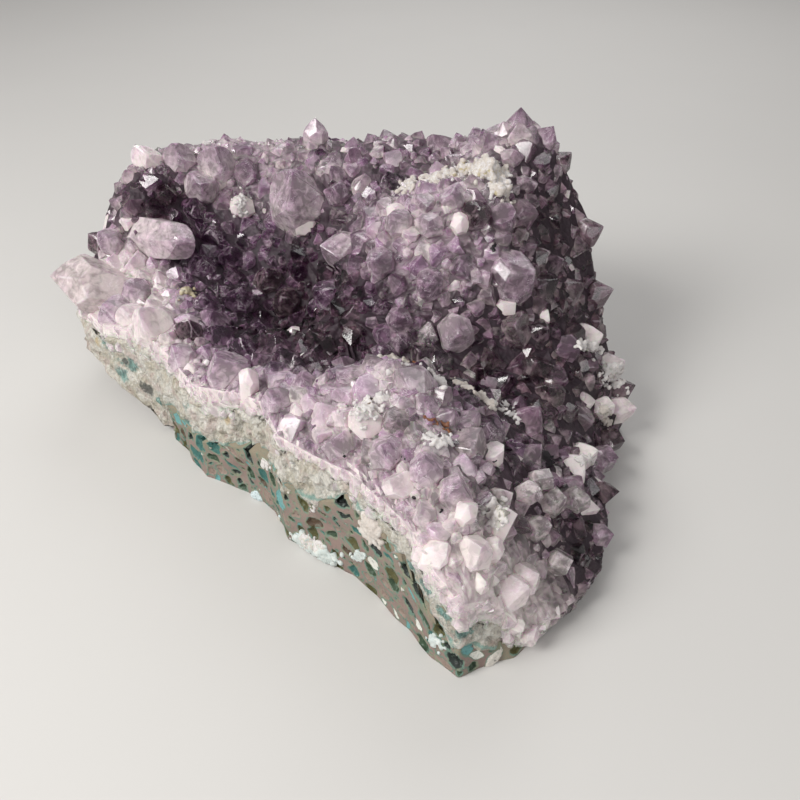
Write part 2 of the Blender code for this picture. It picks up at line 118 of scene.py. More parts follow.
# Height of the bed that the crystals stand on, spot by spot: (x, y, z)
RELIEF = {
    "left end": [(-86, 50, 33), (-78, 38, 33), (-62, 25, 35), (-80, 60, 42)],
    "broken rim": [
        (-47, 9, 35), (-36, -3, 34), (-20, -13, 38), (-11, -28, 37), (2, -35, 37),
        (12, -47, 37), (21, -58, 34), (33, -63, 27), (42, -63, 12),
    ],
    "front lobe": [
        (-9, -20, 40), (6, -26, 43), (15, -16, 48), (15, -38, 43), (21, -50, 39),
        (28, -57, 35), (36, -46, 33), (34, -24, 38), (0, -12, 43),
    ],
    "valley": [(18, 1, 37), (40, -2, 31), (-14, -4, 39), (53, 4, 32), (6, 2, 37)],
    "dome": [
        (24, 12, 52), (26, 18, 62), (14, 26, 66), (33, 31, 75), (43, 33, 71),
        (3, 25, 56), (-4, 13, 43), (48, 20, 54), (55, 32, 55), (30, 42, 70),
    ],
    "hollow": [
        (-13, 41, 26), (-29, 14, 34), (-42, 22, 38), (-36, 50, 33), (-12, 50, 42),
        (-55, 58, 45), (-20, 28, 27), (-46, 40, 36),
    ],
    "back ridge": [
        (-72, 62, 57), (-62, 80, 66), (-40, 82, 66), (-33, 66, 48), (-15, 62, 57),
        (-14, 80, 68), (9, 76, 70), (24, 74, 70), (30, 60, 67), (40, 68, 75),
        (48, 59, 81), (57, 57, 79),
    ],
    "back rim": [(-60, 90, 60), (-30, 91, 63), (0, 87, 64), (30, 80, 68), (48, 68, 75)],
    "right flank": [
        (65, 55, 67), (71, 48, 55), (75, 42, 41), (69, 12, 28), (77, 32, 26),
        (57, -7, 28), (50, -27, 27), (61, -12, 20),
    ],
    "right foot": [
        (84, 17, 7), (75, 4, 9), (70, -14, 9), (69, -29, 8), (60, -42, 11),
        (55, -54, 9), (46, -64, 7),
    ],
}

# Thickness of the crystal crust and of the rind under it: (x, y, thickness)
CRUST_THICKNESS = [
    (-85, 50, 5), (-60, 24, 5), (-36, -3, 6), (-11, -28, 4), (12, -46, 5), (30, -64, 6),
    (60, -20, 8), (74, 18, 6), (50, 66, 8), (0, 86, 7), (-60, 88, 6), (0, 30, 7), (-30, 40, 6),
]
RIND_THICKNESS = [
    (-85, 50, 12), (-62, 22, 16), (-44, 2, 14), (-26, -12, 12), (-14, -26, 11), (-3, -36, 7),
    (6, -43, 3), (14, -52, 6), (24, -64, 9), (34, -66, 6), (60, -20, 6), (74, 18, 4),
    (50, 66, 6), (0, 86, 5), (-60, 88, 6), (0, 20, 6),
]

# How far the basalt and the rind stop short of the outline, by bearing in degrees from +X
BASALT_INSET = [
    (-180, 0), (-62, 0), (-52, 8), (-40, 17), (0, 17), (32, 14), (42, 4), (46, 0),
    (128, 0), (138, 12), (148, 26), (162, 30), (170, 20), (177, 4), (180, 0),
]
RIND_INSET = [(-180, 0.8), (-66, 0.8), (-50, 7), (0, 8), (34, 6), (43, 0.8), (180, 0.8)]
CRUST_INSET = 1.2

# A layer whose inset is at least this ends inside the next one, which wraps down to the ground
WRAPPED_BASALT = 1.0
WRAPPED_RIND = 1.5
WRAP_BLEND = 3.0

# Limits where the tables would make a layer too thin or too low
THINNEST_CRUST = 3.5
THINNEST_RIND = 2.0
THINNEST_SIDE = 1.0
LEAST_BASALT_HEIGHT = 3.0
LEAST_RIND_HEIGHT = 3.0
LEAST_BED_HEIGHT = 5.0
OVERLAP = 2.0

# The rind and the crust stop just above the ground, and more so under the left end
FOOT_CLEARANCE = 0.8
LIFT_START = -57.0
LIFT_HEIGHT = 13.0
LIFT_LENGTH = 13.0
CRUST_LIFT = 1.5

# Unevenness: the bed's lumps, and how rough each layer's side is
BED_LUMPS = 1.3
BED_LUMP_SIZE = 17.0
BED_LUMP_SEED = 3.1
BASALT_ROUGHNESS = 1.6
RIND_ROUGHNESS = 1.3
CRUST_ROUGHNESS = 0.8
BASALT_SEED = 0.0
RIND_SEED = 7.0
CRUST_SEED = 15.0
ROUGH_SIZE = 13.0
FINE_ROUGHNESS = 0.5
FINE_RATIO = 2.3
PUSH_POWER = 4

# The hidden back is a wilder break: how much of that there is, by bearing
BACK = [(-180, 0), (38, 0), (55, 1), (125, 1), (140, 0), (180, 0)]
BACK_SWELL = 3.0
BACK_SWELL_SIZE = 30.0
BACK_TUCK = 7.0
TUCK_HEIGHT = 28.0

LONG_EDGE = 20.0
RING_CROWDING = 0.75
UNDER_SHARE = 0.8
SPLINE_SOFTENING = 20.0

# How a crystal is coloured: (violet, milkiness, smokiness), each from 0 to 1. The dark look is painted shade:
# crystals made near black where shade falls
LOOKS = {
    "pale": (0.16, 0.8, 0.06), "rosy": (0.5, 0.52, 0.04), "lilac": (0.45, 0.5, 0.08),
    "dome": (0.5, 0.55, 0.12), "mauve": (0.6, 0.38, 0.25), "violet": (0.9, 0.2, 0.25),
    "smoky": (0.5, 0.2, 0.85), "dark": (0.9, 0.0, 1.0), "white": (0.0, 0.9, 0.0),
    "clear": (0.05, 0.34, 0.1), "grey": (0.12, 0.65, 0.35),
}

# The look of the crystals round a spot. The dark spots in the hollow and the valley are painted shade; the smoky
# spots are partly smoky quartz and partly painted shade in the valley and on the right flank
ZONES = {
    "pale": [
        (-84, 44), (-62, 30), (-64, 40), (-76, 36), (-73, 41), (-70, 26), (-56, 17), (-49, 13), (36, -62),
        (8, -30), (22, -60),
    ],
    # Painted light: the near corner's milky crystals made whiter to make up for the key light leaving them in
    # shade
    "white": [(42, -64), (46, -59), ],
    "rosy": [
        (-42, 2), (-32, -9), (-22, -14), (-12, -20), (0, -24), (-4, -32), (8, -38),
        (16, -34), (18, -46), (26, -50), (14, -24),
    ],
    "lilac": [
        (-72, 74), (-65, 74), (-56, 82), (-44, 78), (-36, 76), (-16, 66), (38, 62), (52, 58),
        (26, -34), (-78, 52),
    ],
    "dome": [
        (-1, 36), (8, 26), (14, 18), (24, 12), (14, 36), (26, 28), (30, 18), (36, 34), (24, 44),
        (36, 10), (42, 18),
    ],
    "mauve": [
        (46, 26), (2, 52), (10, 64), (24, 66), (-8, 76), (2, -10), (16, -10), (30, -20), (66, -14),
        (60, -26), (48, -28), (58, 56), (48, 46), (-10, 60), (38, -32), (42, -44), (36, -42),
    ],
    "violet": [
        (-48, 56), (-46, 42), (-36, 34), (-30, 20), (-26, 52), (-42, 20), (-20, 6), (-36, 60),
        (-22, 38), (10, 4),
    ],
    # Partly smoky quartz, partly painted shade below the dome and on the right flank, away from the key light
    "smoky": [
        (-80, 64), (30, -2), (24, 0), (52, -2), (58, 20), (61, 33), (66, 46), (46, -14),
        (54, -10), (64, 6), (69, 27), (60, 42), (64, 34), (56, 24), (74, 36), (60, -42), (66, -32), (44, -42),
        (52, -46), (56, -36),
    ],
    # Painted shade: near-black crystals in the hollow and in the valley below the dome
    "dark": [
        (-60, 62), (-15, 46), (-15, 36), (-15, 28), (-9, 18), (-4, 9), (1, 5), (37, 3), (47, 5),
        (-24, 28), (-9, 24), (-9, 32), (-12, 13), (-5, 15), (-20, 20), (-20, 34),
    ],
    "clear": [(40, -52), (46, -54)],
}
ZONE_SIZE = 7.0

# The share of crystals that are pale, white or clear wherever they stand, and the look of the
# crust's broken side
ODD_ONES = 0.035
SIDE_LOOK = (0.25, 0.7, 0.1)
RIM_WIDTH = 4.0

# The crystals that stand out: (x, y, radius, height over the bed, way it points, look)
# The white crystals are partly milky quartz and partly painted glints where facets would catch the light
HEROES = {
    "rounded": [
        (-62, 54, 6.8, 19, (0.8, -0.54, 0.2), "lilac"),
        (-56, 20, 8.6, 9, (-0.2, -0.4, 0.9), "pale"),
        (-31, -2, 7.4, 9, (-0.2, -0.4, 0.9), "rosy"),
        (-66, 74, 5.2, 6, (-0.4, -0.3, 0.85), "pale"),
        (-56, 76, 6.4, 7, (-0.1, -0.4, 0.9), "lilac"),
        (-44, 76, 7.2, 8, (0.1, -0.45, 0.9), "lilac"),
        (-35, 75, 5.4, 7, (0.2, -0.5, 0.8), "mauve"),
        (-49, 70, 6.8, 8, (0.1, -0.75, 0.6), "lilac"),
        (-17, 62, 11.5, 13, (-0.1, -0.42, 0.85), "lilac"),
    ],
    "left end": [
        (-76, 42, 9.6, 17, (-0.92, -0.08, 0.3), "grey"),
        (-65, 37, 5.6, 6, (-0.3, -0.3, 0.9), "rosy"),
        (-71, 31, 6.0, 6, (-0.4, -0.4, 0.8), "rosy"),
        (-75, 54, 4.6, 7, (-0.4, -0.5, 0.75), "rosy"),
        (-81, 60, 4.4, 6, (-0.7, -0.1, 0.7), "smoky"),
        (-64, 26, 5.0, 6, (-0.3, -0.5, 0.8), "pale"),
    ],
    "broken rim": [
        (-24, -11, 3.0, 8, (0.1, -0.2, 0.97), "white"),
        (31, -61, 4.3, 5, (0.1, -0.5, 0.85), "pale"),
        (40, -61, 5.0, 6, (0.6, -0.4, 0.7), "pale"),
        (-16, -19, 4.4, 5, (-0.3, -0.3, 0.9), "rosy"),
        (-46, 7, 4.6, 5, (-0.3, -0.3, 0.9), "rosy"),
    ],
    "back ridge": [
        (-12, 79, 3.7, 8, (0.0, -0.05, 1.0), "lilac"),
        (50, 60, 4.2, 5, (0.0, -0.1, 1.0), "mauve"),
        (58, 57, 4.0, 4, (0.35, -0.1, 0.93), "mauve"),
        (63, 56, 3.8, 4, (0.7, 0.0, 0.7), "smoky"),
    ],
    # In the hollow, the dark ones are painted shade, near-black crystals where shade falls
    "hollow": [
        (-37, 15, 5.0, 5, (0.0, -0.3, 0.95), "violet"),
        (-29, 10, 4.4, 5, (0.0, -0.25, 0.96), "violet"),
        (-21, 45, 5.0, 7, (-0.1, -0.7, 0.7), "smoky"),
        (-45, 16, 4.6, 5, (0.2, -0.3, 0.93), "smoky"),
        (-36, 68, 4.2, 6, (0.0, -0.75, 0.66), "white"),
        (-15, 57, 3.8, 5, (-0.4, -0.7, 0.6), "white"),
        (-4, 59, 4.6, 6, (-0.3, -0.6, 0.74), "mauve"),
        (-36, 41, 5.4, 8, (0.1, -0.5, 0.85), "violet"),
        (-27, 50, 4.8, 7, (0.1, -0.6, 0.8), "smoky"),
        (-5, 25, 5.6, 7, (-0.5, -0.6, 0.6), "violet"),
        (-9, 33, 4.4, 5, (-0.7, -0.5, 0.5), "violet"),
        (-19, 25, 4.2, 4, (0.1, -0.4, 0.9), "dark"),
        (-28, 30, 4.6, 5, (0.1, -0.4, 0.9), "violet"),
        (-43, 30, 4.6, 5, (0.1, -0.4, 0.9), "violet"),
        (-48, 50, 4.6, 6, (0.3, -0.5, 0.8), "violet"),
        (-39, 56, 4.4, 6, (0.1, -0.7, 0.7), "violet"),
        (-59, 65, 4.2, 5, (0.4, -0.6, 0.7), "dark"),
    ],
    "dome": [
        (0, 41, 6.5, 10, (-0.85, -0.35, 0.35), "lilac"),
        (46, 18, 8.0, 9, (0.55, -0.65, 0.5), "mauve"),
        (30, 6, 5.6, 8, (0.1, -0.85, 0.45), "lilac"),
        (15, 25, 4.8, 6, (-0.4, -0.5, 0.77), "lilac"),
        (10, 19, 4.6, 6, (-0.35, -0.7, 0.6), "mauve"),
        (23, 13, 4.8, 6, (-0.1, -0.85, 0.5), "mauve"),
        (35, 24, 4.8, 6, (0.2, -0.7, 0.65), "smoky"),
        (15, 9, 4.2, 6, (-0.1, -0.8, 0.57), "mauve"),
        (42, 26, 4.2, 6, (0.5, -0.6, 0.6), "mauve"),
        (23, 22, 4.0, 5, (-0.15, -0.75, 0.65), "lilac"),
        (31, 22, 3.0, 5, (0.1, -0.7, 0.7), "white"),
        (14, 30, 2.6, 4, (-0.2, -0.7, 0.7), "white"),
    ],
    "front lobe": [
        (7, -31, 5.0, 6, (-0.3, -0.5, 0.8), "white"),
        (12, -40, 4.2, 6, (-0.2, -0.5, 0.85), "rosy"),
        (1, -34, 3.8, 5, (-0.4, -0.35, 0.85), "lilac"),
        (21, -46, 4.2, 6, (-0.1, -0.35, 0.93), "rosy"),
        (27, -51, 3.8, 6, (0.3, -0.4, 0.87), "lilac"),
        (15, -48, 3.8, 5, (-0.35, -0.35, 0.87), "pale"),
    ],
    "right flank": [
        (37, -53, 2.6, 9, (0.2, -0.1, 0.97), "white"),
        (29, -55, 2.8, 6, (0.1, -0.3, 0.95), "white"),
        (35, -58, 2.8, 5, (0.2, -0.4, 0.9), "white"),
        (43, -57, 4.0, 6, (0.5, -0.4, 0.75), "pale"),
        (52, -50, 3.6, 5, (0.7, -0.4, 0.6), "clear"),
        (48, -35, 3.2, 6, (0.6, -0.4, 0.7), "clear"),
        (58, -33, 3.4, 6, (0.7, -0.4, 0.6), "clear"),
        (44, -41, 3.4, 6, (0.6, -0.3, 0.7), "clear"),
        (51, -38, 3.4, 6, (0.7, -0.3, 0.6), "clear"),
        (46, -47, 3.2, 6, (0.6, -0.5, 0.6), "clear"),
        (70, 21, 5.0, 5, (0.8, -0.2, 0.55), "white"),
        (78, 22, 5.5, 6, (0.75, -0.3, 0.55), "pale"),
        (73, 7, 3.8, 5, (0.75, -0.4, 0.55), "pale"),
        (64, -15, 4.0, 5, (0.8, -0.2, 0.6), "white"),
        (71, 46, 4.6, 6, (0.75, -0.4, 0.5), "smoky"),
        (75, 38, 4.6, 6, (0.75, -0.4, 0.5), "smoky"),
    ],
    "right foot": [
        (79, 12, 4.4, 7, (0.85, -0.35, 0.3), "pale"),
        (75, 2, 4.0, 6, (0.85, -0.4, 0.3), "smoky"),
        (71, -8, 3.8, 6, (0.9, -0.3, 0.35), "mauve"),
        (81, 19, 4.2, 6, (0.9, 0.0, 0.4), "smoky"),
        (69, -22, 3.6, 5, (0.9, -0.3, 0.35), "smoky"),
        (66, -36, 3.4, 4, (0.85, -0.4, 0.35), "mauve"),
    ],
}

# The shape of a crystal, in units of its radius: the faces of its tip lean in by RHOMB_PITCH
# degrees from upright, and every other one is smaller
RHOMB_PITCH = 38.2
SMALLER_FACES = 0.5
PRISM_DEPTH = 8.0
FACET_SWELL = 0.015
TIP_LENGTH = 1.6
SMALLEST_FACET = 0.05
WORN_EDGE = 0.15
ROUNDS = 12

# The gas holes that stand out on the broken front: (x, y, z, length, width, tilt in degrees, filling)
NAMED_HOLES = [
    (-39, -6, 8, 4.6, 2.6, -20, "green"), (-33, -9, 8.5, 4.2, 1.2, -35, "teal"),
    (-18, -24, 22, 3.4, 2.2, -30, "turquoise"), (-21, -20, 19, 2.4, 1.6, 0, "white"),
    (-27, -12.5, 5.6, 3.2, 1.8, -40, "black"), (-16, -28, 19, 4.4, 2.6, -20, "olive"),
    (-9.5, -34, 17, 5.0, 3.0, -50, "olive"), (-7, -35, 17, 1.6, 1.4, 0, "white"),
    (-4, -37, 18, 3.2, 2.0, -10, "brown"), (2, -42, 21.5, 4.4, 1.5, 10, "black"),
    (0, -40, 17, 3.6, 1.2, -50, "black"), (-11, -33, 4, 5.4, 3.4, 0, "frost"),
    (-5, -36, 2.5, 5.0, 3.0, -10, "frost"), (2, -42, 9, 3.6, 2.2, -30, "brown"),
    (8, -48, 24, 6.4, 4.4, -20, "granular"), (9, -49, 18, 5.0, 3.0, -20, "black"),
    (6, -46, 11, 3.2, 2.0, -20, "turquoise"), (7, -47, 5, 3.6, 2.4, 0, "plain"),
    (11, -50.5, 4, 4.0, 2.4, 0, "plain"), (17, -58, 9, 5.0, 2.8, -30, "black"),
    (18, -60, 14, 4.0, 1.6, -30, "turquoise"), (20.5, -64, 11, 4.4, 2.4, -20, "green"),
    (23, -68, 8, 5.0, 3.2, -10, "teal"), (26, -70, 8, 3.0, 1.8, 30, "black"),
    (31, -69, 11, 3.8, 2.2, 0, "olive"), (28, -70, 14, 3.8, 1.4, -10, "turquoise"),
]

# What fills the gas holes: (place on the ramp, depth of the hole, how lumpy, share of them)
FILLINGS = {
    "black": (0.05, 1.6, 0.1, 0.12), "green": (0.15, 1.1, 0.3, 0.2), "olive": (0.25, 0.9, 0.3, 0.2),
    "brown": (0.35, 1.0, 0.2, 0.06), "teal": (0.45, 0.6, 0.4, 0.16), "turquoise": (0.55, 0.3, 0.4, 0.05),
    "plain": (0.65, 0.35, 0.2, 0.12), "white": (0.75, 0.1, 0.5, 0.03), "frost": (0.85, -0.7, 0.8, 0.01),
    "granular": (0.95, -0.6, 0.7, 0.02),
}
FILLING_COLOURS = [
    (0.008, 0.014, 0.012), (0.030, 0.062, 0.030), (0.085, 0.080, 0.024), (0.085, 0.050, 0.028),
    (0.030, 0.130, 0.115), (0.130, 0.330, 0.330), (0.27, 0.20, 0.165), (0.72, 0.72, 0.66),
    (0.60, 0.70, 0.72), (0.66, 0.62, 0.56),
]

# Small growths on the crystals and the rock: (look, number, spread, smallest and largest radius,
# path). A look is a place on the ramp of GROWTH_COLOURS
GROWTHS = [
    ("cream", 560, 3.8, 0.4, 1.15, [
        (16, 46, 66), (23, 46, 69), (30, 45, 73), (36, 41, 76), (41, 34, 77), (43, 28, 74)]),
    ("white", 300, 4.0, 0.35, 0.9, [
        (16, 46, 66), (23, 46, 69), (30, 45, 73), (36, 41, 76), (41, 34, 77), (43, 28, 74)]),
    ("yellow", 60, 2.6, 0.4, 0.8, [(29, 50, 70), (37, 44, 73), (42, 32, 74)]),
    ("white", 130, 2.8, 0.35, 0.8, [(5, -32, 46), (8, -29, 45), (11, -26, 46)]),
    ("white", 80, 1.8, 0.35, 0.8, [(21, -38, 43), (26, -38, 42)]),
    ("white", 130, 0.7, 0.5, 0.8, [(12, -14, 44), (15, -8, 42), (20, -9, 42), (25, -14, 42), (26, -18, 42)]),
    ("cream", 120, 0.7, 0.5, 0.75, [(28, -6, 36), (33, -8, 35), (37, -12, 34), (40, -15, 33)]),
    ("cream", 170, 0.7, 0.55, 0.85, [
        (9, -2, 40), (13, 1, 38), (17, 0, 37), (18, -3, 38), (14, -5, 40), (10, -5, 41), (9, -2, 40)]),
    ("grey", 50, 1.4, 0.35, 0.7, [(12, -2, 39), (16, -2, 38)]),
    ("white", 90, 1.3, 0.4, 0.9, [(66, 17, 31), (70, 17, 31), (74, 17, 29)]),
    ("white", 110, 3.6, 0.4, 1.0, [(77, 18, 22), (80, 17, 18)]),
    ("cream", 50, 1.5, 0.4, 0.8, [(74, 6, 17), (75, 2, 14)]),
    ("white", 50, 1.5, 0.35, 0.7, [(63, -18, 19), (67, -17, 17)]),
    ("white", 50, 1.8, 0.35, 0.7, [(40, -12, 33), (46, -16, 30)]),
    ("white", 90, 2.0, 0.4, 0.9, [(37, -46, 31), (37, -51, 32), (36, -55, 33)]),
    ("grey", 26, 1.4, 0.4, 0.8, [(38, -47, 31), (37, -53, 33)]),
    ("rust", 34, 0.8, 0.3, 0.6, [(21, -32, 44), (25, -33, 43), (27, -35, 42)]),
    ("rust", 12, 0.8, 0.3, 0.5, [(19, 1, 37), (21, 0, 37)]),
    ("yellow", 30, 1.6, 0.4, 0.8, [(-52, 36, 38), (-48, 38, 36)]),
    ("white", 50, 2.4, 0.4, 0.8, [(-36, 68, 54), (-36, 65, 50)]),
    ("white", 24, 1.4, 0.35, 0.7, [(-48, 80, 68), (-45, 80, 69)]),
    ("black", 5, 0.9, 0.35, 0.6, [(7, -26, 44), (9, -25, 45)]),
    ("black", 3, 0.4, 0.3, 0.5, [(2, -37, 37)]),
    ("black", 4, 0.5, 0.4, 0.6, [(18, -51, 37)]),
    ("black", 3, 0.4, 0.3, 0.5, [(24, -54, 36)]),
    ("black", 3, 0.4, 0.3, 0.5, [(37, -37, 35)]),
    ("black", 2, 0.4, 0.3, 0.5, [(29, -33, 41)]),
    ("black", 3, 0.4, 0.3, 0.5, [(54, -23, 24)]),
    ("black", 8, 1.2, 0.4, 0.8, [(40, 21, 60)]),
    ("black", 4, 1.0, 0.3, 0.5, [(12, -44, 40), (20, -40, 42)]),
]
ROCK_GROWTHS = [
    ("frost", 150, 2.2, 0.5, 1.2, [(-13, -33, 3), (-9, -34, 3), (-5, -37, 2), (-2, -39, 2)]),
    ("white", 60, 1.6, 0.5, 1.0, [(-10, -34, 5), (-6, -36, 4)]),
    ("cream", 110, 2.0, 0.5, 1.1, [(7, -47, 25), (9, -49, 22)]),
    ("frost", 40, 1.2, 0.4, 0.8, [(4, -44, 10), (6, -46, 12)]),
    ("frost", 40, 1.4, 0.4, 0.8, [(22, -67, 9), (24, -69, 8)]),
    ("white", 30, 1.2, 0.4, 0.7, [(-21, -21, 20), (-19, -22, 19)]),
    ("white", 14, 0.8, 0.3, 0.6, [(-7, -35, 17)]),
]
GROWTH_COLOURS = {
    "white": (0.05, (0.64, 0.61, 0.60)), "cream": (0.2, (0.56, 0.51, 0.465)),
    "yellow": (0.35, (0.46, 0.40, 0.26)), "frost": (0.45, (0.54, 0.60, 0.58)),
    "grey": (0.55, (0.27, 0.25, 0.23)), "rust": (0.65, (0.20, 0.075, 0.03)),
    "black": (0.85, (0.008, 0.007, 0.008)),
}


# Surfaces shared with the solids

def spline_kernel(squared):
    return squared * np.log(squared + 1e-9)


def smooth_surface(spots):
    """A thin-plate spline through the spots: a function from arrays of x and y to the third value."""
    spots = np.array(spots, float)
    plan = spots[:, :2]
    count = len(spots)
    squared = ((plan[:, None] - plan[None]) ** 2).sum(-1)
    flat = np.hstack([np.ones((count, 1)), plan])
    system = np.zeros((count + 3, count + 3))
    system[:count, :count] = spline_kernel(squared) + SPLINE_SOFTENING * np.eye(count)
    system[:count, count:] = flat
    system[count:, :count] = flat.T
    weights = np.linalg.solve(system, np.append(spots[:, 2], np.zeros(3)))

    def value(x, y):
        x = np.asarray(x, float)[..., None]
        y = np.asarray(y, float)[..., None]
        kernel = spline_kernel((plan[:, 0] - x) ** 2 + (plan[:, 1] - y) ** 2)
        rest = weights[count] + weights[count + 1] * x[..., 0] + weights[count + 2] * y[..., 0]
        return kernel @ weights[:count] + rest

    return value


bed_spline = smooth_surface([spot for group in RELIEF.values() for spot in group])
crust_spline = smooth_surface(CRUST_THICKNESS)
rind_spline = smooth_surface(RIND_THICKNESS)


def smooth_noise(x, y, z):
    """Blender's gradient noise for arrays of coordinates."""
    x, y, z = np.broadcast_arrays(x, y, z)
    points = zip(x.ravel(), y.ravel(), z.ravel())
    return np.fromiter((noise.noise(point) for point in points), float, x.size).reshape(x.shape)


def bed_height(x, y):
    lumps = smooth_noise(np.asarray(x) / BED_LUMP_SIZE, np.asarray(y) / BED_LUMP_SIZE, BED_LUMP_SEED)
    return bed_spline(x, y) + BED_LUMPS * lumps


def rind_top(x, y):
    return bed_height(x, y) - np.maximum(THINNEST_CRUST, crust_spline(x, y))


def basalt_top(x, y):
    return rind_top(x, y) - np.maximum(THINNEST_RIND, rind_spline(x, y))


def lift(x):
    """How far the underside of the left end stands off the ground."""
    past = np.minimum(0.0, np.asarray(x, float) - LIFT_START)
    return LIFT_HEIGHT * (1.0 - np.exp(past / LIFT_LENGTH))


def by_bearing(table, bearing):
    """A value from a table of (degrees, value), with straight lines between the rows."""
    angles, values = zip(*table)
    return np.interp(np.degrees(bearing), angles, values, period=360)


def outline_corners():
    """The outline's corners from the centre, with long edges halved, in the order of their bearings."""
    corners = [np.array(corner, float) - CENTRE for corner in OUTLINE]
    points = []
    for start, end in zip(corners, corners[1:] + corners[:1]):
        points.append(start)
        if np.linalg.norm(end - start) > LONG_EDGE:
            points.append((start + end) / 2)
    return np.array(sorted(points, key=lambda point: math.atan2(point[1], point[0])))


CORNERS = outline_corners()
CORNER_BEARINGS = np.arctan2(CORNERS[:, 1], CORNERS[:, 0])


def cross(a, b):
    return a[..., 0] * b[..., 1] - a[..., 1] * b[..., 0]


def outline_reach(bearing):
    """Distance from the centre to the outline's straight edges, along bearings in radians."""
    bearing = (np.asarray(bearing, float) + np.pi) % math.tau - np.pi
    before = (np.searchsorted(CORNER_BEARINGS, bearing, side="right") - 1) % len(CORNERS)
    start = CORNERS[before]
    edge = CORNERS[(before + 1) % len(CORNERS)] - start
    way = np.stack([np.cos(bearing), np.sin(bearing)], -1)
    return cross(start, edge) / cross(way, edge)


def rough(x, y, z, size, seed):
    """Rock-like unevenness between about -1 and 1, with lumps of the given size."""
    x, y, z = x / size + seed, y / size, z / size
    fine = smooth_noise(x * FINE_RATIO, y * FINE_RATIO, z * FINE_RATIO)
    return smooth_noise(x, y, z) + FINE_ROUGHNESS * fine


def side_push(bearing, x, y, z, roughness, seed):
    """How far the side stands out from the outline at a place."""
    back = by_bearing(BACK, bearing)
    swell = BACK_SWELL * rough(x, y, z, BACK_SWELL_SIZE, 0.0)
    tuck = BACK_TUCK * np.maximum(0.0, 1.0 - z / TUCK_HEIGHT) ** 2
    return roughness * (1 + back) * rough(x, y, z, ROUGH_SIZE, seed) + back * (swell - tuck)


def wraps(table, bearing, least):
    """0 where a layer ends on the side of the stone, 1 where it reaches down to the ground."""
    return np.clip((by_bearing(table, bearing) - least) / WRAP_BLEND, 0.0, 1.0)


# Under the crust the rind keeps away from its surface on steep slopes, this far in from the rim
COVERED_FROM = 6.0
STEEP_SINK = 2.0
STEEPEST = 2.5

# How the layers are divided: the broken front gets more than its share of the segments
FRONT = (-172.0, -55.0)


def divided_bearings(front, rest):
    """Bearings in radians: front of them over the broken front and rest over the other sides."""
    start, end = np.radians(FRONT)
    over_front = np.linspace(start, end, front, endpoint=False)
    over_rest = np.linspace(end, start + math.tau, rest, endpoint=False)
    return np.sort((np.concatenate([over_front, over_rest]) + np.pi) % math.tau - np.pi)


class Layer:
    """One layer of the stone as a grid of rings and bearings, from the top's middle to the underside's."""

    def __init__(self, bearings, rings, inset, top, rim_bottom, ground, roughness, seed):
        top_rings, side_rings = rings
        self.bearings = bearings
        self.side_start = top_rings
        self.side_end = top_rings + side_rings
        self.count = self.side_end + 2
        ring = np.arange(self.count + 1)[:, None]
        left = np.clip(self.count - ring, 0, 2)
        share = np.minimum(ring / top_rings, 1.0) ** RING_CROWDING
        share = share * np.array([0.0, UNDER_SHARE, 1.0])[left]
        reach = share * (outline_reach(bearings) - inset(bearings))[None]
        bearing = np.broadcast_to(bearings, reach.shape)
        x = CENTRE[0] + reach * np.cos(bearing)
        y = CENTRE[1] + reach * np.sin(bearing)
        high = top(x, y)
        low = np.minimum(rim_bottom(x, y, bearing), high - THINNEST_SIDE)
        low = np.where(left > 1, low, ground(x))
        down = np.clip((ring - top_rings) / side_rings, 0.0, 1.0)
        z = high + (low - high) * down
        push = share ** PUSH_POWER * side_push(bearing, x, y, z, roughness, seed)
        self.points = np.stack([x + push * np.cos(bearing), y + push * np.sin(bearing), z], -1)
        self.bearing = bearing

    def along(self):
        """Distance round the stone at each bearing, in millimetres from the first."""
        rim = self.points[self.side_start, :, :2]
        steps = np.linalg.norm(np.diff(rim, axis=0), axis=1)
        return np.concatenate([[0.0], np.cumsum(steps)])

    def normals(self):
        """Outward normals of the grid, found from its neighbours."""
        points = self.points
        across = np.roll(points, -1, axis=1) - np.roll(points, 1, axis=1)
        down = np.gradient(points, axis=0)
        normal = np.cross(down, across)
        length = np.linalg.norm(normal, axis=-1, keepdims=True)
        return normal / np.maximum(length, 1e-9)

    def mesh(self, name, attributes=None):
        """The grid as a closed mesh, with a single point at the middle of its top and underside."""
        turns = len(self.bearings)
        corners = np.arange(1, (self.count - 1) * turns + 1).reshape(-1, turns)
        onward = np.roll(corners, -1, axis=1)
        last = corners.size + 1
        quads = np.stack([corners[:-1], corners[1:], onward[1:], onward[:-1]], -1).reshape(-1, 4)
        top = np.stack([np.zeros(turns, int), corners[0], onward[0]], -1)
        underside = np.stack([np.full(turns, last), onward[-1], corners[-1]], -1)
        data = bpy.data.meshes.new(name)
        points = self.on_mesh(self.points * MM)
        points[:, 2] = np.maximum(points[:, 2], 0.0)
        data.from_pydata(points.tolist(), [], quads.tolist() + top.tolist() + underside.tolist())
        for key, values in (attributes or {}).items():
            layer = data.attributes.new(key, "FLOAT", "POINT")
            layer.data.foreach_set("value", self.on_mesh(values).astype(np.float32))
        data.update()
        return data

    def on_mesh(self, grid):
        """The grid's values in the order of the mesh's points."""
        rings = grid[1:-1].reshape(-1, *grid.shape[2:])
        return np.concatenate([grid[0, :1], rings, grid[-1, :1]])


def basalt_layer(bearings, rings):
    return Layer(
        bearings, rings,
        inset=lambda bearing: by_bearing(BASALT_INSET, bearing),
        top=lambda x, y: np.maximum(basalt_top(x, y), LEAST_BASALT_HEIGHT),
        rim_bottom=lambda x, y, bearing: 0.0,
        ground=lambda x: 0.0,
        roughness=BASALT_ROUGHNESS,
        seed=BASALT_SEED,
    )


def rind_ground(x):
    return FOOT_CLEARANCE + lift(x)


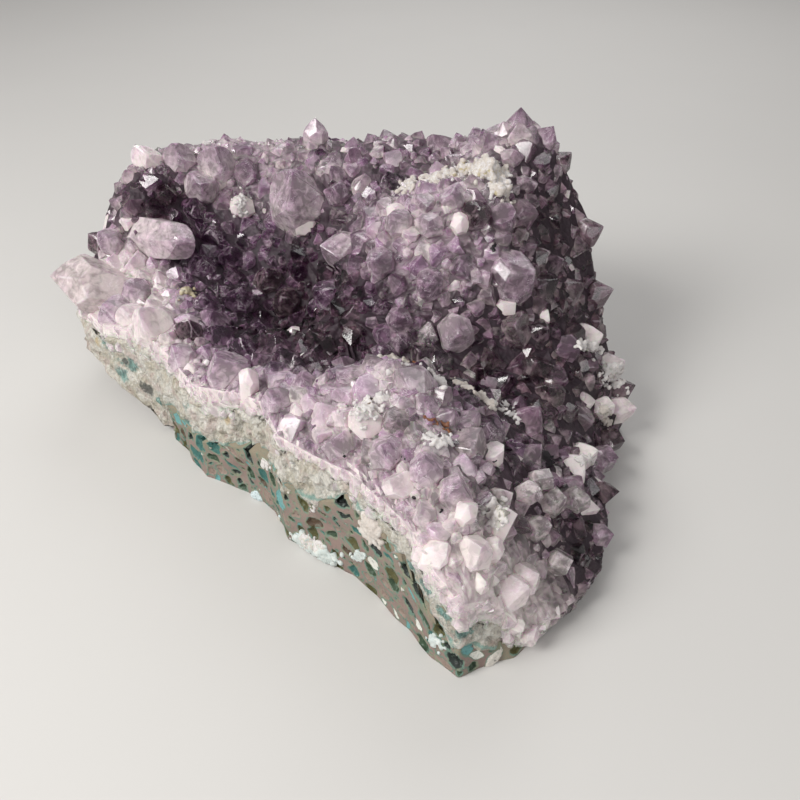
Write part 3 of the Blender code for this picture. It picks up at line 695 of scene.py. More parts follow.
def covered(x, y):
    """0 at the rim and 1 well under the crust."""
    out = np.stack([x - CENTRE[0], y - CENTRE[1]], -1)
    reach = outline_reach(np.arctan2(out[..., 1], out[..., 0]))
    return np.clip((reach - np.linalg.norm(out, axis=-1)) / COVERED_FROM - 0.5, 0.0, 1.0)


def sunk_rind_top(x, y):
    """The rind's top, sunk on steep slopes so that the crust stays as thick there."""
    rise_x = bed_height(x + 1, y) - bed_height(x - 1, y)
    rise_y = bed_height(x, y + 1) - bed_height(x, y - 1)
    steep = np.minimum(np.hypot(rise_x, rise_y) / 2, STEEPEST)
    return rind_top(x, y) - STEEP_SINK * steep * covered(x, y)


def rind_layer(bearings, rings):
    def rim_bottom(x, y, bearing):
        open_side = 1 - wraps(BASALT_INSET, bearing, WRAPPED_BASALT)
        return np.maximum(rind_ground(x), open_side * (basalt_top(x, y) - OVERLAP))

    return Layer(
        bearings, rings,
        inset=lambda bearing: by_bearing(RIND_INSET, bearing),
        top=lambda x, y: np.maximum(sunk_rind_top(x, y), rind_ground(x) + LEAST_RIND_HEIGHT),
        rim_bottom=rim_bottom,
        ground=rind_ground,
        roughness=RIND_ROUGHNESS,
        seed=RIND_SEED,
    )


def crust_layer(bearings, rings):
    def rim_bottom(x, y, bearing):
        open_side = 1 - wraps(RIND_INSET, bearing, WRAPPED_RIND)
        return np.maximum(FOOT_CLEARANCE, open_side * (rind_top(x, y) - OVERLAP))

    return Layer(
        bearings, rings,
        inset=lambda bearing: np.full(len(bearing), CRUST_INSET),
        top=lambda x, y: np.maximum(bed_height(x, y), LEAST_BED_HEIGHT),
        rim_bottom=rim_bottom,
        ground=lambda x: FOOT_CLEARANCE + CRUST_LIFT * lift(x),
        roughness=CRUST_ROUGHNESS,
        seed=CRUST_SEED,
    )


# Objects

def add_object(name, data, collection=None):
    obj = bpy.data.objects.new(name, data)
    (collection or bpy.context.scene.collection).objects.link(obj)
    return obj


def boolean(obj, operation, other):
    modifier = obj.modifiers.new(operation.lower(), "BOOLEAN")
    modifier.operation = operation
    modifier.solver = "MANIFOLD"
    if isinstance(other, bpy.types.Collection):
        modifier.operand_type = "COLLECTION"
        modifier.collection = other
    else:
        modifier.object = other


def apply_modifiers(obj):
    """Swaps the object's mesh for its evaluated one."""
    bpy.context.view_layer.update()
    evaluated = obj.evaluated_get(bpy.context.evaluated_depsgraph_get())
    data = bpy.data.meshes.new_from_object(evaluated)
    obj.modifiers.clear()
    obj.data = data
    return data


def discard(*objects):
    for obj in objects:
        bpy.data.objects.remove(obj, do_unlink=True)


def finish_piece(obj, slot, node, material):
    obj.data.materials.clear()
    obj.data.materials.append(material)
    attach(obj, BODY)
    if node:
        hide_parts(node)


# Shaders

class Value:
    """A number or colour that varies over the surface. Python's operators on it add Math nodes."""

    def __init__(self, finish, socket):
        self.finish = finish
        self.socket = socket

    def maths(self, operation, *terms):
        return self.finish.add("ShaderNodeMath", {"operation": operation}, dict(enumerate(terms)))

    def __add__(self, other):
        return self.maths("ADD", self, other)

    __radd__ = __add__

    def __sub__(self, other):
        return self.maths("SUBTRACT", self, other)

    def __rsub__(self, other):
        return self.maths("SUBTRACT", other, self)

    def __mul__(self, other):
        return self.maths("MULTIPLY", self, other)

    __rmul__ = __mul__

    def __pow__(self, other):
        return self.maths("POWER", self, other)

    def most(self, other):
        return self.maths("MAXIMUM", self, other)

    def least(self, other):
        return self.maths("MINIMUM", self, other)

    def step(self, low, high):
        """0 below low, 1 above high and smooth between them. With low above high it falls instead."""
        settings = {"interpolation_type": "SMOOTHSTEP", "clamp": True}
        sockets = {"Value": self, "From Min": low, "From Max": high}
        return self.finish.add("ShaderNodeMapRange", settings, sockets)


class Finish:
    """The node tree of one material, and the one method that adds a node to it."""

    def __init__(self, name):
        self.material = bpy.data.materials.new(name)
        self.material.use_nodes = True
        self.tree = self.material.node_tree
        self.tree.nodes.clear()
        self.place = self.add("ShaderNodeTexCoord", output="Object")

    def add(self, kind, settings=None, sockets=None, output=0):
        """Adds a node: its settings first, then the values or links of its sockets."""
        node = self.tree.nodes.new(kind)
        for key, value in (settings or {}).items():
            setattr(node, key, value)
        for key, value in (sockets or {}).items():
            if isinstance(value, Value):
                self.tree.links.new(value.socket, node.inputs[key])
            else:
                node.inputs[key].default_value = value
        return Value(self, node.outputs[output])

    def attribute(self, name):
        return self.add("ShaderNodeAttribute", {"attribute_name": name}, output="Fac")

    def noise(self, size, detail=3.0, roughness=0.5, warp=0.0, place=None):
        sockets = {
            "Vector": place or self.place, "Scale": 1 / (size * MM), "Detail": detail,
            "Roughness": roughness, "Distortion": warp,
        }
        return self.add("ShaderNodeTexNoise", None, sockets)

    def cells(self, size, feature="F1", output="Distance", place=None):
        sockets = {"Vector": place or self.place, "Scale": 1 / (size * MM)}
        return self.add("ShaderNodeTexVoronoi", {"feature": feature}, sockets, output)

    def stretched(self, factors):
        """The place, squeezed or stretched along each axis."""
        sockets = {0: self.place, 1: factors}
        return self.add("ShaderNodeVectorMath", {"operation": "MULTIPLY"}, sockets)

    def blend(self, factor, first, second, how="MIX"):
        """One colour over another."""
        settings = {"data_type": "RGBA", "blend_type": how, "clamp_factor": True}
        return self.add("ShaderNodeMix", settings, {0: factor, 6: first, 7: second}, 2)

    def ramp(self, factor, stops, interpolation="LINEAR"):
        """A colour ramp through (position, colour) stops."""
        node = self.tree.nodes.new("ShaderNodeValToRGB")
        node.color_ramp.interpolation = interpolation
        elements = node.color_ramp.elements
        while len(elements) < len(stops):
            elements.new(0.5)
        for element, (position, colour) in zip(elements, stops):
            element.position = position
            element.color = colour
        self.tree.links.new(factor.socket, node.inputs["Fac"])
        return Value(self, node.outputs["Color"])

    def bump(self, height, distance, strength=1.0, normal=None):
        sockets = {"Height": height, "Distance": distance * MM, "Strength": strength}
        if normal:
            sockets["Normal"] = normal
        return self.add("ShaderNodeBump", None, sockets)

    def principled(self, **sockets):
        names = {key.replace("_", " ").title().replace("Ior", "IOR"): value for key, value in sockets.items()}
        return self.add("ShaderNodeBsdfPrincipled", None, names)

    def output(self, surface, volume=None):
        sockets = {"Surface": surface}
        if volume:
            sockets["Volume"] = volume
        node = self.tree.nodes.new("ShaderNodeOutputMaterial")
        for key, value in sockets.items():
            self.tree.links.new(value.socket, node.inputs[key])
        return self.material


def solid(colour):
    return (*colour, 1.0)


# Settings that a user would change

def colour_property(name, description, default):
    return FloatVectorProperty(
        name=name, description=description, subtype="COLOR", size=3, min=0.0, max=1.0, default=default
    )


def length_property(name, description, default):
    return FloatProperty(
        name=name, description=description, unit="LENGTH", subtype="DISTANCE", min=0.0, default=default * MM
    )


class CrystalSettings(PropertyGroup):
    """Sizes and colours of the crystal crust."""

    large: length_property("Large radius", "Radius of the larger crystals of the crust", 4.6)
    medium: length_property("Medium radius", "Radius of most crystals of the crust", 3.2)
    small: length_property("Small radius", "Radius of the druse that fills the gaps", 2.0)
    seed: IntProperty(name="Seed", description="Start of the random numbers", default=11)
    lean: FloatProperty(
        name="Lean", description="How far the crystals lean away from the bed's normal", default=0.27
    )
    violet: colour_property("Violet", "Clear quartz at its deepest colour", (0.35, 0.175, 0.37))
    water: colour_property("Water-clear", "Clear quartz with hardly any colour", (0.86, 0.82, 0.84))
    # The smoky colour also darkens crystals in the hollow and valley as painted shade
    smoke: colour_property("Smoky", "Smoky brown quartz", (0.15, 0.07, 0.075))
    milk: colour_property("Milky", "Milky quartz", (0.80, 0.72, 0.71))
    lilac: colour_property("Milky lilac", "Milky quartz with colour in it", (0.40, 0.245, 0.385))
    absorption: colour_property("Absorption", "Colour that a thick crystal lets through", (0.72, 0.50, 0.74))
    density: FloatProperty(
        name="Density", description="How fast light is lost in the crystal, per metre", default=120.0
    )


class RindSettings(PropertyGroup):
    """Colours of the rind."""

    cream: colour_property("Cream", "Sugary chalcedony", (0.46, 0.42, 0.335))
    white: colour_property("White", "Bleached grains", (0.62, 0.60, 0.545))
    # The shade colour is painted shade in the crevices and the gaps between grains
    shade: colour_property("Shade", "Grey in the gaps between grains", (0.20, 0.175, 0.14))
    ochre: colour_property("Ochre", "Iron stains", (0.42, 0.29, 0.10))
    teal: colour_property("Teal", "Celadonite veins", (0.03, 0.12, 0.115))


class BasaltSettings(PropertyGroup):
    """Colours and gas holes of the basalt."""

    ground: colour_property("Ground", "Fresh break of the basalt", (0.25, 0.18, 0.155))
    bleached: colour_property("Bleached", "Altered basalt, pale and greenish", (0.26, 0.24, 0.155))
    hole_length: length_property("Hole length", "Usual length of a gas hole", 3.2)
    hole_gap: length_property("Gap", "Least rock between two gas holes", 0.8)
    seed: IntProperty(name="Seed", description="Start of the random numbers", default=4)


class StudioSettings(PropertyGroup):
    """Light and camera."""

    key: FloatProperty(name="Key light", description="Power of the soft light from the left", default=5.2)
    fill: FloatProperty(name="Fill light", description="Power of the light from behind", default=1.5)
    front: FloatProperty(name="Front light", description="Power of the light from the front", default=1.0)
    sky: FloatProperty(name="Surround", description="Strength of the light from all round", default=0.38)
    floor: colour_property("Floor", "Colour of the floor", (0.62, 0.61, 0.59))


class ClusterSettings(PropertyGroup):
    """Everything that can be set for the amethyst cluster."""

    crystals: PointerProperty(type=CrystalSettings)
    rind: PointerProperty(type=RindSettings)
    basalt: PointerProperty(type=BasaltSettings)
    studio: PointerProperty(type=StudioSettings)


# Basalt

BASALT_SEGMENTS = (460, 260)
BASALT_RINGS = (8, 64)


def scatter_holes(layer, settings):
    """Gas holes on the side as (distance round, height, half length, half width, tilt, filling)."""
    rng = random.Random(settings.seed)
    along = layer.along()
    rim = layer.points[layer.side_start]
    holes = []
    for x, y, z, length, width, tilt, filling in NAMED_HOLES:
        bearing = math.atan2(y - CENTRE[1], x - CENTRE[0])
        place = np.interp(bearing, layer.bearings, along)
        holes.append((place, z, length / 2, width / 2, math.radians(tilt), filling))
    names = list(FILLINGS)
    shares = [FILLINGS[name][3] for name in names]
    usual = settings.hole_length / MM
    for size in (1.5, 1.1, 0.75, 0.45, 0.3):
        taken = np.array([hole[:3] for hole in holes])
        for _ in range(int(2600 / size)):
            place = rng.uniform(0, along[-1])
            top = np.interp(place, along, rim[:, 2])
            height = rng.uniform(0.5, max(1.0, top - 0.5))
            half = usual * size * rng.uniform(0.75, 1.25) / 2
            away = np.hypot(taken[:, 0] - place, (taken[:, 1] - height) * 1.5)
            if (away < taken[:, 2] + half + settings.hole_gap / MM).any():
                continue
            tilt = math.radians(rng.gauss(-15, 50))
            width = half * rng.uniform(0.5, 1.0)
            filling = rng.choices(names, shares)[0]
            holes.append((place, height, half, width, tilt, filling))
            taken = np.vstack([taken, (place, height, half)])
    return holes


def carve_holes(layer, holes):
    """Cuts the gas holes into the layer. Returns grids of the distance to a hole's rim and of its filling."""
    along = layer.along()
    shape = layer.points.shape[:2]
    edge = np.full(shape, 3.0)
    ramp = np.full(shape, 0.5)
    depth = np.zeros(shape)
    height = layer.points[..., 2]
    warp_along = 0.9 * smooth_noise(layer.points[..., 0] / 1.9, layer.points[..., 1] / 1.9, height / 1.9)
    warp_up = 0.8 * smooth_noise(layer.points[..., 1] / 1.7, height / 1.7, layer.points[..., 0] / 1.7)
    lumps = smooth_noise(layer.points[..., 0] / 0.7, layer.points[..., 1] / 0.7, height / 0.7)
    for place, level, half, width, tilt, filling in holes:
        first, last = np.searchsorted(along, (place - half - 3, place + half + 3))
        spot, hole_depth, lumpy, _ = FILLINGS[filling]
        ahead = (along[first:last] - place)[None] + warp_along[:, first:last]
        up = height[:, first:last] - level + warp_up[:, first:last]
        long_way = (ahead * math.cos(tilt) + up * math.sin(tilt)) / half
        short_way = (up * math.cos(tilt) - ahead * math.sin(tilt)) / width
        far = (np.sqrt(long_way ** 2 + short_way ** 2) - 1) * math.sqrt(half * width)
        near = far < edge[:, first:last]
        edge[:, first:last][near] = far[near]
        ramp[:, first:last][near] = spot
        sunk = np.clip(-far / (0.45 * width), 0, 1) ** 0.7 * min(hole_depth, width)
        sunk = sunk - lumpy * 0.35 * lumps[:, first:last] * (far < 0)
        depth[:, first:last][near] = sunk[near]
    on_side = np.zeros(shape)
    on_side[layer.side_start:layer.side_end] = 1.0
    depth = depth * on_side
    raised = 0.12 * np.exp(-(edge / 0.3) ** 2) * on_side
    layer.points -= layer.normals() * (depth - raised)[..., None]
    return edge, ramp


def basalt_finish(settings):
    finish = Finish("vesicular_basalt")
    edge = finish.attribute("hole_edge")
    filling = finish.attribute("hole_filling")
    seam = finish.attribute("seam")
    grain = finish.noise(0.5, 3, 0.6)
    patches = finish.noise(7.0, 4, 0.6)
    speckle = finish.cells(0.6)
    bleach = (patches + seam * 0.5).step(0.52, 0.8)
    ground = finish.blend(bleach * 0.7, solid(settings.ground), solid(settings.bleached))
    ground = finish.blend(grain.step(0.35, 0.75) * 0.35, ground, (0.28, 0.205, 0.185, 1))
    ground = finish.blend(speckle.step(0.3, 0.12) * 0.3, ground, (0.12, 0.09, 0.075, 1))
    stops = [(index / 10, solid(colour)) for index, colour in enumerate(FILLING_COLOURS)]
    inside = finish.ramp(filling, stops, "CONSTANT")
    mottle = finish.noise(0.9, 3, 0.6)
    inside = finish.blend(mottle.step(0.52, 0.8) * 0.55, inside, (0.22, 0.30, 0.24, 1))
    inside = finish.blend(mottle.step(0.48, 0.25) * 0.6, inside, (0.015, 0.026, 0.02, 1))
    ragged = edge + (grain - 0.5) * 0.3
    rim = ragged.step(0.4, 0.1)
    green = finish.noise(4.0, 3, 0.6).step(0.4, 0.56)
    rim_colour = finish.blend(green, (0.22, 0.25, 0.17, 1), (0.11, 0.22, 0.17, 1))
    squiggles = finish.noise(1.5, 3, 0.6, warp=1.6)
    squiggle = (squiggles - 0.5).maths("ABSOLUTE", squiggles - 0.5).step(0.035, 0.01) * patches.step(0.42, 0.55)
    ground = finish.blend(squiggle * 0.6, ground, (0.13, 0.22, 0.17, 1))
    colour = finish.blend(rim * 0.85, ground, rim_colour)
    colour = finish.blend(ragged.step(0.0, -0.16), colour, inside)
    normal = finish.bump(grain, 0.2, 0.7)
    normal = finish.bump(speckle, 0.12, 0.5, normal)
    gloss = finish.noise(1.2, 2, 0.5)
    wet = ragged.step(0.0, -0.3)
    shader = finish.principled(
        base_color=colour, roughness=0.82 - wet * gloss * 0.6, normal=normal
    )
    return finish.output(shader)


# Rind

RIND_SEGMENTS = (430, 230)
RIND_RINGS = (10, 56)

# The rind's relief: (size of the lumps, share)
SUGAR = [(8.0, 1.4), (3.1, 1.3), (1.6, 0.8)]

# How far the lacy seam between basalt and rind reaches to either side
SEAM_WIDTH = 1.6

# Stains on the rind: (x, y, z, size, kind)
STAINS = [
    (-36, -4, 27, 2.0, "ochre"), (-31, -8, 25, 1.8, "ochre"), (26, -66, 20, 2.0, "ochre"),
    (-44, 0, 22, 1.8, "teal"), (-71, 25, 15, 2.6, "teal"), (-66, 22, 21, 2.6, "teal"),
    (-74, 30, 24, 3.0, "teal"), (-70, 26, 19, 2.0, "teal"), (-50, 5, 10, 2.2, "teal"), (-58, 14, 12, 2.0, "teal"), (-62, 19, 14, 2.6, "shade"),
    (-52, 7, 12, 2.2, "shade"), (-78, 33, 22, 2.0, "ochre"), (-47, 4, 14, 2.0, "teal"),
    (8, -49, 25, 2.0, "shade"), (-69, 25, 20, 1.6, "shade"),
    (12, -53, 22, 1.6, "teal"), (17, -58, 22, 1.8, "teal"), (21, -63, 21, 2.2, "teal"),
    (25, -67, 18, 2.2, "teal"), (29, -69, 14, 2.2, "teal"),
]


def stain_grid(layer, kind):
    """How strongly each place on the layer has a kind of stain."""
    strength = np.zeros(layer.points.shape[:2])
    for x, y, z, size, name in STAINS:
        if name == kind:
            away = ((layer.points - (x, y, z)) ** 2).sum(-1)
            strength = np.maximum(strength, np.exp(-away / (2 * size ** 2)))
    return strength


def rind_finish(settings):
    finish = Finish("cream_rind")
    fibres = finish.noise(1.3, 5, 0.68, warp=1.2, place=finish.stretched((1.0, 1.0, 0.55)))
    grains = finish.cells(0.8)
    fine = finish.noise(0.4, 3, 0.65)
    drift = finish.noise(6.0, 4, 0.6)
    colour = finish.blend(drift.step(0.35, 0.62), solid(settings.cream), solid(settings.white))
    # Painted shade in the crevices of the fibres and the gaps between grains, and a painted highlight on the
    # raised fibres
    colour = finish.blend(fibres.step(0.47, 0.3) * 0.85, colour, solid(settings.shade))
    colour = finish.blend(fibres.step(0.52, 0.66) * 0.75, colour, (0.74, 0.72, 0.67, 1))
    colour = finish.blend(grains.step(0.5, 0.85) * 0.3, colour, solid(settings.shade))
    blush = finish.noise(4.5, 4, 0.65)
    colour = finish.blend(blush.step(0.5, 0.64) * 0.5, colour, (0.44, 0.32, 0.30, 1))
    veins = finish.noise(2.6, 4, 0.6, warp=1.0)
    vein = (veins - 0.5).maths("ABSOLUTE", veins - 0.5).step(0.03, 0.006)
    teal = finish.attribute("teal_stain")
    ochre = finish.attribute("ochre_stain")
    shade = finish.attribute("shade_stain")
    seam = finish.attribute("seam")
    lace = finish.noise(1.3, 4, 0.6)
    green = (teal + lace * 0.9 - 0.75).step(0.15, 0.45)
    mottled = finish.blend(fibres.step(0.45, 0.6), solid(settings.teal), (0.20, 0.38, 0.34, 1))
    colour = finish.blend(green * 0.8, colour, mottled)
    colour = finish.blend(vein * (teal * 0.6 + seam * 0.5 + 0.05), colour, (0.10, 0.26, 0.23, 1))
    edge = (seam + (lace - 0.5) * 1.2).step(0.55, 0.9)
    colour = finish.blend(edge * 0.75, colour, (0.20, 0.36, 0.31, 1))
    rust = (ochre + finish.noise(1.6, 3, 0.6) * 0.9 - 0.7).step(0.1, 0.5)
    colour = finish.blend(rust * 0.6, colour, solid(settings.ochre))
    dark = (shade + lace * 0.9 - 0.75).step(0.15, 0.45)
    colour = finish.blend(dark * 0.85, colour, (0.06, 0.065, 0.06, 1))
    # Painted shade: the rind darkened where the crust covers it
    colour = finish.blend(finish.attribute("covered"), colour, (0.16, 0.11, 0.14, 1))
    normal = finish.bump(fibres, 0.9, 0.9)
    normal = finish.bump(grains, 0.35, 0.8, normal)
    normal = finish.bump(fine, 0.15, 0.6, normal)
    shader = finish.principled(
        base_color=colour, roughness=0.45 + fine * 0.35, normal=normal, subsurface_weight=0.2,
        subsurface_radius=(0.0012, 0.001, 0.0008), subsurface_scale=1.0,
    )
    return finish.output(shader)


# Crystals

def crystal_shape(rng, spread, rounding=0.0, rounds=0):
    """A six-sided prism of radius 1 with a six-faced quartz tip, its point at z = 0.

    spread is how unlike the faces of the tip are: 0 makes them meet in one point. Each face of
    the tip gets a middle, which lets the finish know how far a place is from the nearest edge.
    """
    mesh = bmesh.new()
    bmesh.ops.create_cone(
        mesh, cap_ends=True, segments=6, radius1=1.0, radius2=1.0, depth=PRISM_DEPTH
    )
    bmesh.ops.scale(mesh, vec=(rng.uniform(0.85, 1.15), rng.uniform(0.85, 1.15), 1), verts=mesh.verts)
    pitch = math.radians(RHOMB_PITCH)
    for face in range(6):
        angle = math.radians(60 * face + 30)
        across = math.cos(pitch)
        normal = Vector((math.cos(angle) * across, math.sin(angle) * across, math.sin(pitch)))
        offset = spread * (SMALLER_FACES * (face % 2) + rng.random())
        kept = bmesh.ops.bisect_plane(
            mesh,
            geom=mesh.verts[:] + mesh.edges[:] + mesh.faces[:],
            plane_co=normal * offset,
            plane_no=normal,
            clear_outer=True,
        )
        rim = [item for item in kept["geom_cut"] if isinstance(item, bmesh.types.BMEdge)]
        if rim:
            bmesh.ops.edgeloop_fill(mesh, edges=rim)
    if rounding:
        worn = [edge for edge in mesh.edges if max(vert.co.z for vert in edge.verts) > -PRISM_DEPTH / 2]
        bmesh.ops.bevel(
            mesh, geom=worn, offset=rounding, segments=2, profile=0.6, affect="EDGES", clamp_overlap=True
        )
    if rounds:
        upper = [edge for edge in mesh.edges if max(vert.co.z for vert in edge.verts) > -PRISM_DEPTH / 2]
        bmesh.ops.subdivide_edges(mesh, edges=upper, cuts=2, use_grid_fill=True)
        for _ in range(rounds):
            free = [vert for vert in mesh.verts if vert.co.z > 0.01 - PRISM_DEPTH / 2]
            bmesh.ops.smooth_vert(mesh, verts=free, factor=0.5, use_axis_x=True, use_axis_y=True, use_axis_z=True)
    edge = mesh.verts.layers.float.new("facet_edge")
    along = mesh.verts.layers.float.new("along")
    for vert in mesh.verts:
        vert[edge] = 0.0 if rounds else 1.0
    mesh.normal_update()
    tips = []
    if not rounds:
        tips = [face for face in mesh.faces if face.normal.z > 0.3 and face.calc_area() > SMALLEST_FACET]
    middles = bmesh.ops.poke(mesh, faces=tips, offset=FACET_SWELL)["verts"]
    for vert in middles:
        vert[edge] = 0.0
    highest = max(vert.co.z for vert in mesh.verts)
    for vert in mesh.verts:
        vert[along] = max(0.0, 1.0 - (highest - vert.co.z) / TIP_LENGTH)
    bmesh.ops.translate(mesh, verts=mesh.verts, vec=(0, 0, -highest))
    bmesh.ops.recalc_face_normals(mesh, faces=mesh.faces)
    data = bpy.data.meshes.new("crystal_shape")
    mesh.to_mesh(data)
    mesh.free()
    return data


def bed_normals(x, y, step=1.5):
    rise_x = bed_height(x + step, y) - bed_height(x - step, y)
    rise_y = bed_height(x, y + step) - bed_height(x, y - step)
    normal = np.stack([-rise_x, -rise_y, np.full_like(rise_x, 2 * step)], -1)
    return normal / np.linalg.norm(normal, axis=-1, keepdims=True)


ZONE_SPOTS = np.array([spot for spots in ZONES.values() for spot in spots], float)
ZONE_LOOKS = np.array([LOOKS[look] for look, spots in ZONES.items() for _ in spots])


def zone_look(x, y):
    """The look of the crystals at a spot, from the zones round it."""
    away = ((ZONE_SPOTS - (x, y)) ** 2).sum(1)
    near = np.exp(-(away - away.min()) / (2 * ZONE_SIZE ** 2))
    return near @ ZONE_LOOKS / near.sum()


class Crystals:
    """The crystals of the crust while they are planted: their objects and their looks."""

    def __init__(self, seed):
        self.rng = random.Random(seed)
        self.collection = bpy.data.collections.new("crystals")
        bpy.context.scene.collection.children.link(self.collection)
        self.shapes = [crystal_shape(self.rng, self.rng.uniform(0.1, 0.5)) for _ in range(16)]
        self.worn_shapes = [
            crystal_shape(self.rng, self.rng.uniform(0.05, 0.4), WORN_EDGE) for _ in range(8)
        ]
        self.round_shapes = [
            crystal_shape(self.rng, self.rng.uniform(0.1, 0.3), 0.0, ROUNDS) for _ in range(4)
        ]
        self.looks = [(0.5, 0.4, 0.2)]
        self.places = np.zeros((0, 3))
        self.rooms = np.zeros(0)

    def plant(self, place, radius, height, way, look, room, shapes=None):
        """One crystal whose foot is sunk in the bed and whose point stands height over it."""
        shapes = shapes or (self.worn_shapes if radius > WORN_FROM else self.shapes)
        data = self.rng.choice(shapes).copy()
        root = min(radius * 0.8 + 1.5, DEEPEST_ROOT)
        count = len(data.vertices)
        flat = np.empty(count * 3, np.float32)
        data.vertices.foreach_get("co", flat)
        points = flat.reshape(-1, 3)
        foot = points[:, 2] < -PRISM_DEPTH / 2
        points[foot, 2] = -(height + root) / radius
        points[foot, :2] *= min(1, WIDEST_FOOT / radius)
        data.vertices.foreach_set("co", points.ravel())
        way = Vector(way).normalized()
        tip = Vector(place) + way * height
        data.transform(
            Matrix.Translation(tip * MM)
            @ way.to_track_quat("Z", "Y").to_matrix().to_4x4()
            @ Matrix.Rotation(self.rng.uniform(0, math.tau), 4, "Z")
            @ Matrix.Scale(radius * MM, 4)
        )
        number = data.attributes.new("crystal", "INT", "FACE")
        number.data.foreach_set("value", np.full(len(data.polygons), len(self.looks), np.int32))
        self.looks.append(look)
        add_object("crystal", data, self.collection)
        centre = np.array(place) + np.array(way) * height * 0.5
        self.places = np.vstack([self.places, centre])
        self.rooms = np.append(self.rooms, room)

    def fits(self, place, room):
        away = np.linalg.norm(self.places - place, axis=1)
        return not (away < self.rooms + room).any()

    def scatter(self, radius, spacing, tries, lean, most):
        """Fills what is free of the bed with crystals of about one radius."""
        rng = self.rng
        bearing = np.array([rng.uniform(-math.pi, math.pi) for _ in range(tries)])
        share = np.sqrt([rng.random() for _ in range(tries)])
        reach = (outline_reach(bearing) - CRUST_INSET - EDGE_ROOM * radius ** 2) * share
        x = CENTRE[0] + reach * np.cos(bearing)
        y = CENTRE[1] + reach * np.sin(bearing)
        z = np.maximum(bed_height(x, y), LEAST_BED_HEIGHT)
        normals = bed_normals(x, y)
        planted = 0
        nearness = np.clip(share * 6 - 5, 0, 1)
        for place, normal, at_rim in zip(np.stack([x, y, z], -1), normals, nearness):
            size = radius * rng.uniform(0.75, 1.3)
            if planted >= most or not self.fits(place, spacing * size):
                continue
            way = normal + lean * np.array([rng.gauss(0, 1) for _ in range(3)])
            size = min(size, 0.45 * place[2])
            height = size * rng.uniform(0.4, 1.0) * (1 - LOWER_AT_RIM * at_rim)
            self.plant(place, size, height, way, self.varied_look(*place[:2]), spacing * size)
            planted += 1

    def varied_look(self, x, y):
        """The look of the zone with a crystal's own share of chance in it, now and then a pale one."""
        rng = self.rng
        if rng.random() < ODD_ONES:
            return LOOKS[rng.choice(("white", "clear", "pale"))]
        look = zone_look(x, y)
        return tuple(min(1, max(0, value + rng.gauss(0, 0.13))) for value in look)

    def line_side(self, layer, radius, spacing, tries):
        """Crystals on the side of the crust. Where it is broken off they stand up, not out."""
        rng = self.rng
        normals = layer.normals()
        grown = wraps(RIND_INSET, layer.bearings, WRAPPED_RIND)
        for _ in range(tries):
            turn = rng.randrange(len(layer.bearings))
            ring = rng.randint(layer.side_start, layer.side_end - 1)
            place = layer.points[ring, turn]
            size = min(radius * rng.uniform(0.7, 1.3) * (0.65 + 0.35 * grown[turn]), 0.4 * place[2])
            if size < 0.8 or not self.fits(place, spacing * size):
                continue
            up = (0, 0, 0.35 if grown[turn] > 0.3 else 0.9)
            way = normals[ring, turn] + up + 0.3 * np.array([rng.gauss(0, 1) for _ in range(3)])
            height = size * (rng.uniform(0.25, 0.6) if grown[turn] > 0.3 else rng.uniform(0.1, 0.5))
            look = self.varied_look(*place[:2]) if grown[turn] > 0.3 else SIDE_LOOK
            self.plant(place, size, height, way, look, spacing * size)


WORN_FROM = 4.2
HERO_ROOM = 0.8
EDGE_ROOM = 0.18
DEEPEST_ROOT = 7.0
WIDEST_FOOT = 6.5
LOWER_AT_RIM = 0.35
CRUST_SEGMENTS = (150, 150)
CRUST_RINGS = (34, 13)
CUTTER_SEGMENTS = (90, 90)
BOND = 0.5

# The bed between the crystals: its relief, and the painted shade that makes its look darker than the crystals
# round it
DRUSE = 1.3
PAINTED_BED_SHADE = (0.15, -0.2, 0.25)
REAR_BED = 0.4


def shrunk(layer, by):
    """The layer drawn in by that much all over, to cut the crust where it is bonded to it."""
    layer.points = layer.points - layer.normals() * by
    return layer


def crust_attributes(data, looks):
    """Turns each crystal's number into the colours of its faces. The bed between them has number 0."""
    count = len(data.polygons)
    numbers = np.zeros(count, np.int32)
    data.attributes["crystal"].data.foreach_get("value", numbers)
    values = np.array(looks, np.float32)[numbers]
    centres = np.zeros(count * 3)
    normals = np.zeros(count * 3)
    data.polygons.foreach_get("center", centres)
    data.polygons.foreach_get("normal", normals)
    centres = centres.reshape(-1, 3) / MM
    normals = normals.reshape(-1, 3)
    out = centres[:, :2] - CENTRE
    on_rim = np.hypot(*out.T) > outline_reach(np.arctan2(out[:, 1], out[:, 0])) - RIM_WIDTH
    grown = wraps(RIND_INSET, np.arctan2(out[:, 1], out[:, 0]), WRAPPED_RIND)
    side = on_rim & (normals[:, 2] < 0.5)
    broken = side & (grown < 0.3)
    rear = side & (normals[:, 1] > 0.0)
    # Bed faces get the zone's look plus painted shade: darker and smokier than the crystals round them
    for face in np.flatnonzero(numbers == 0):
        shaded_bed_look = np.clip(zone_look(*centres[face, :2]) + PAINTED_BED_SHADE, 0, 1)
        if rear[face]:
            shaded_bed_look = (shaded_bed_look + LOOKS["mauve"]) / 2
        values[face] = SIDE_LOOK if broken[face] else shaded_bed_look
    bed = np.where(numbers == 0, np.where(rear, REAR_BED, 1.0), 0.0).astype(np.float32)
    for name, numbers in (("violet", values[:, 0]), ("milk", values[:, 1]), ("smoke", values[:, 2]), ("bed", bed)):
        layer = data.attributes.new(name, "FLOAT", "FACE")
        layer.data.foreach_set("value", numbers)


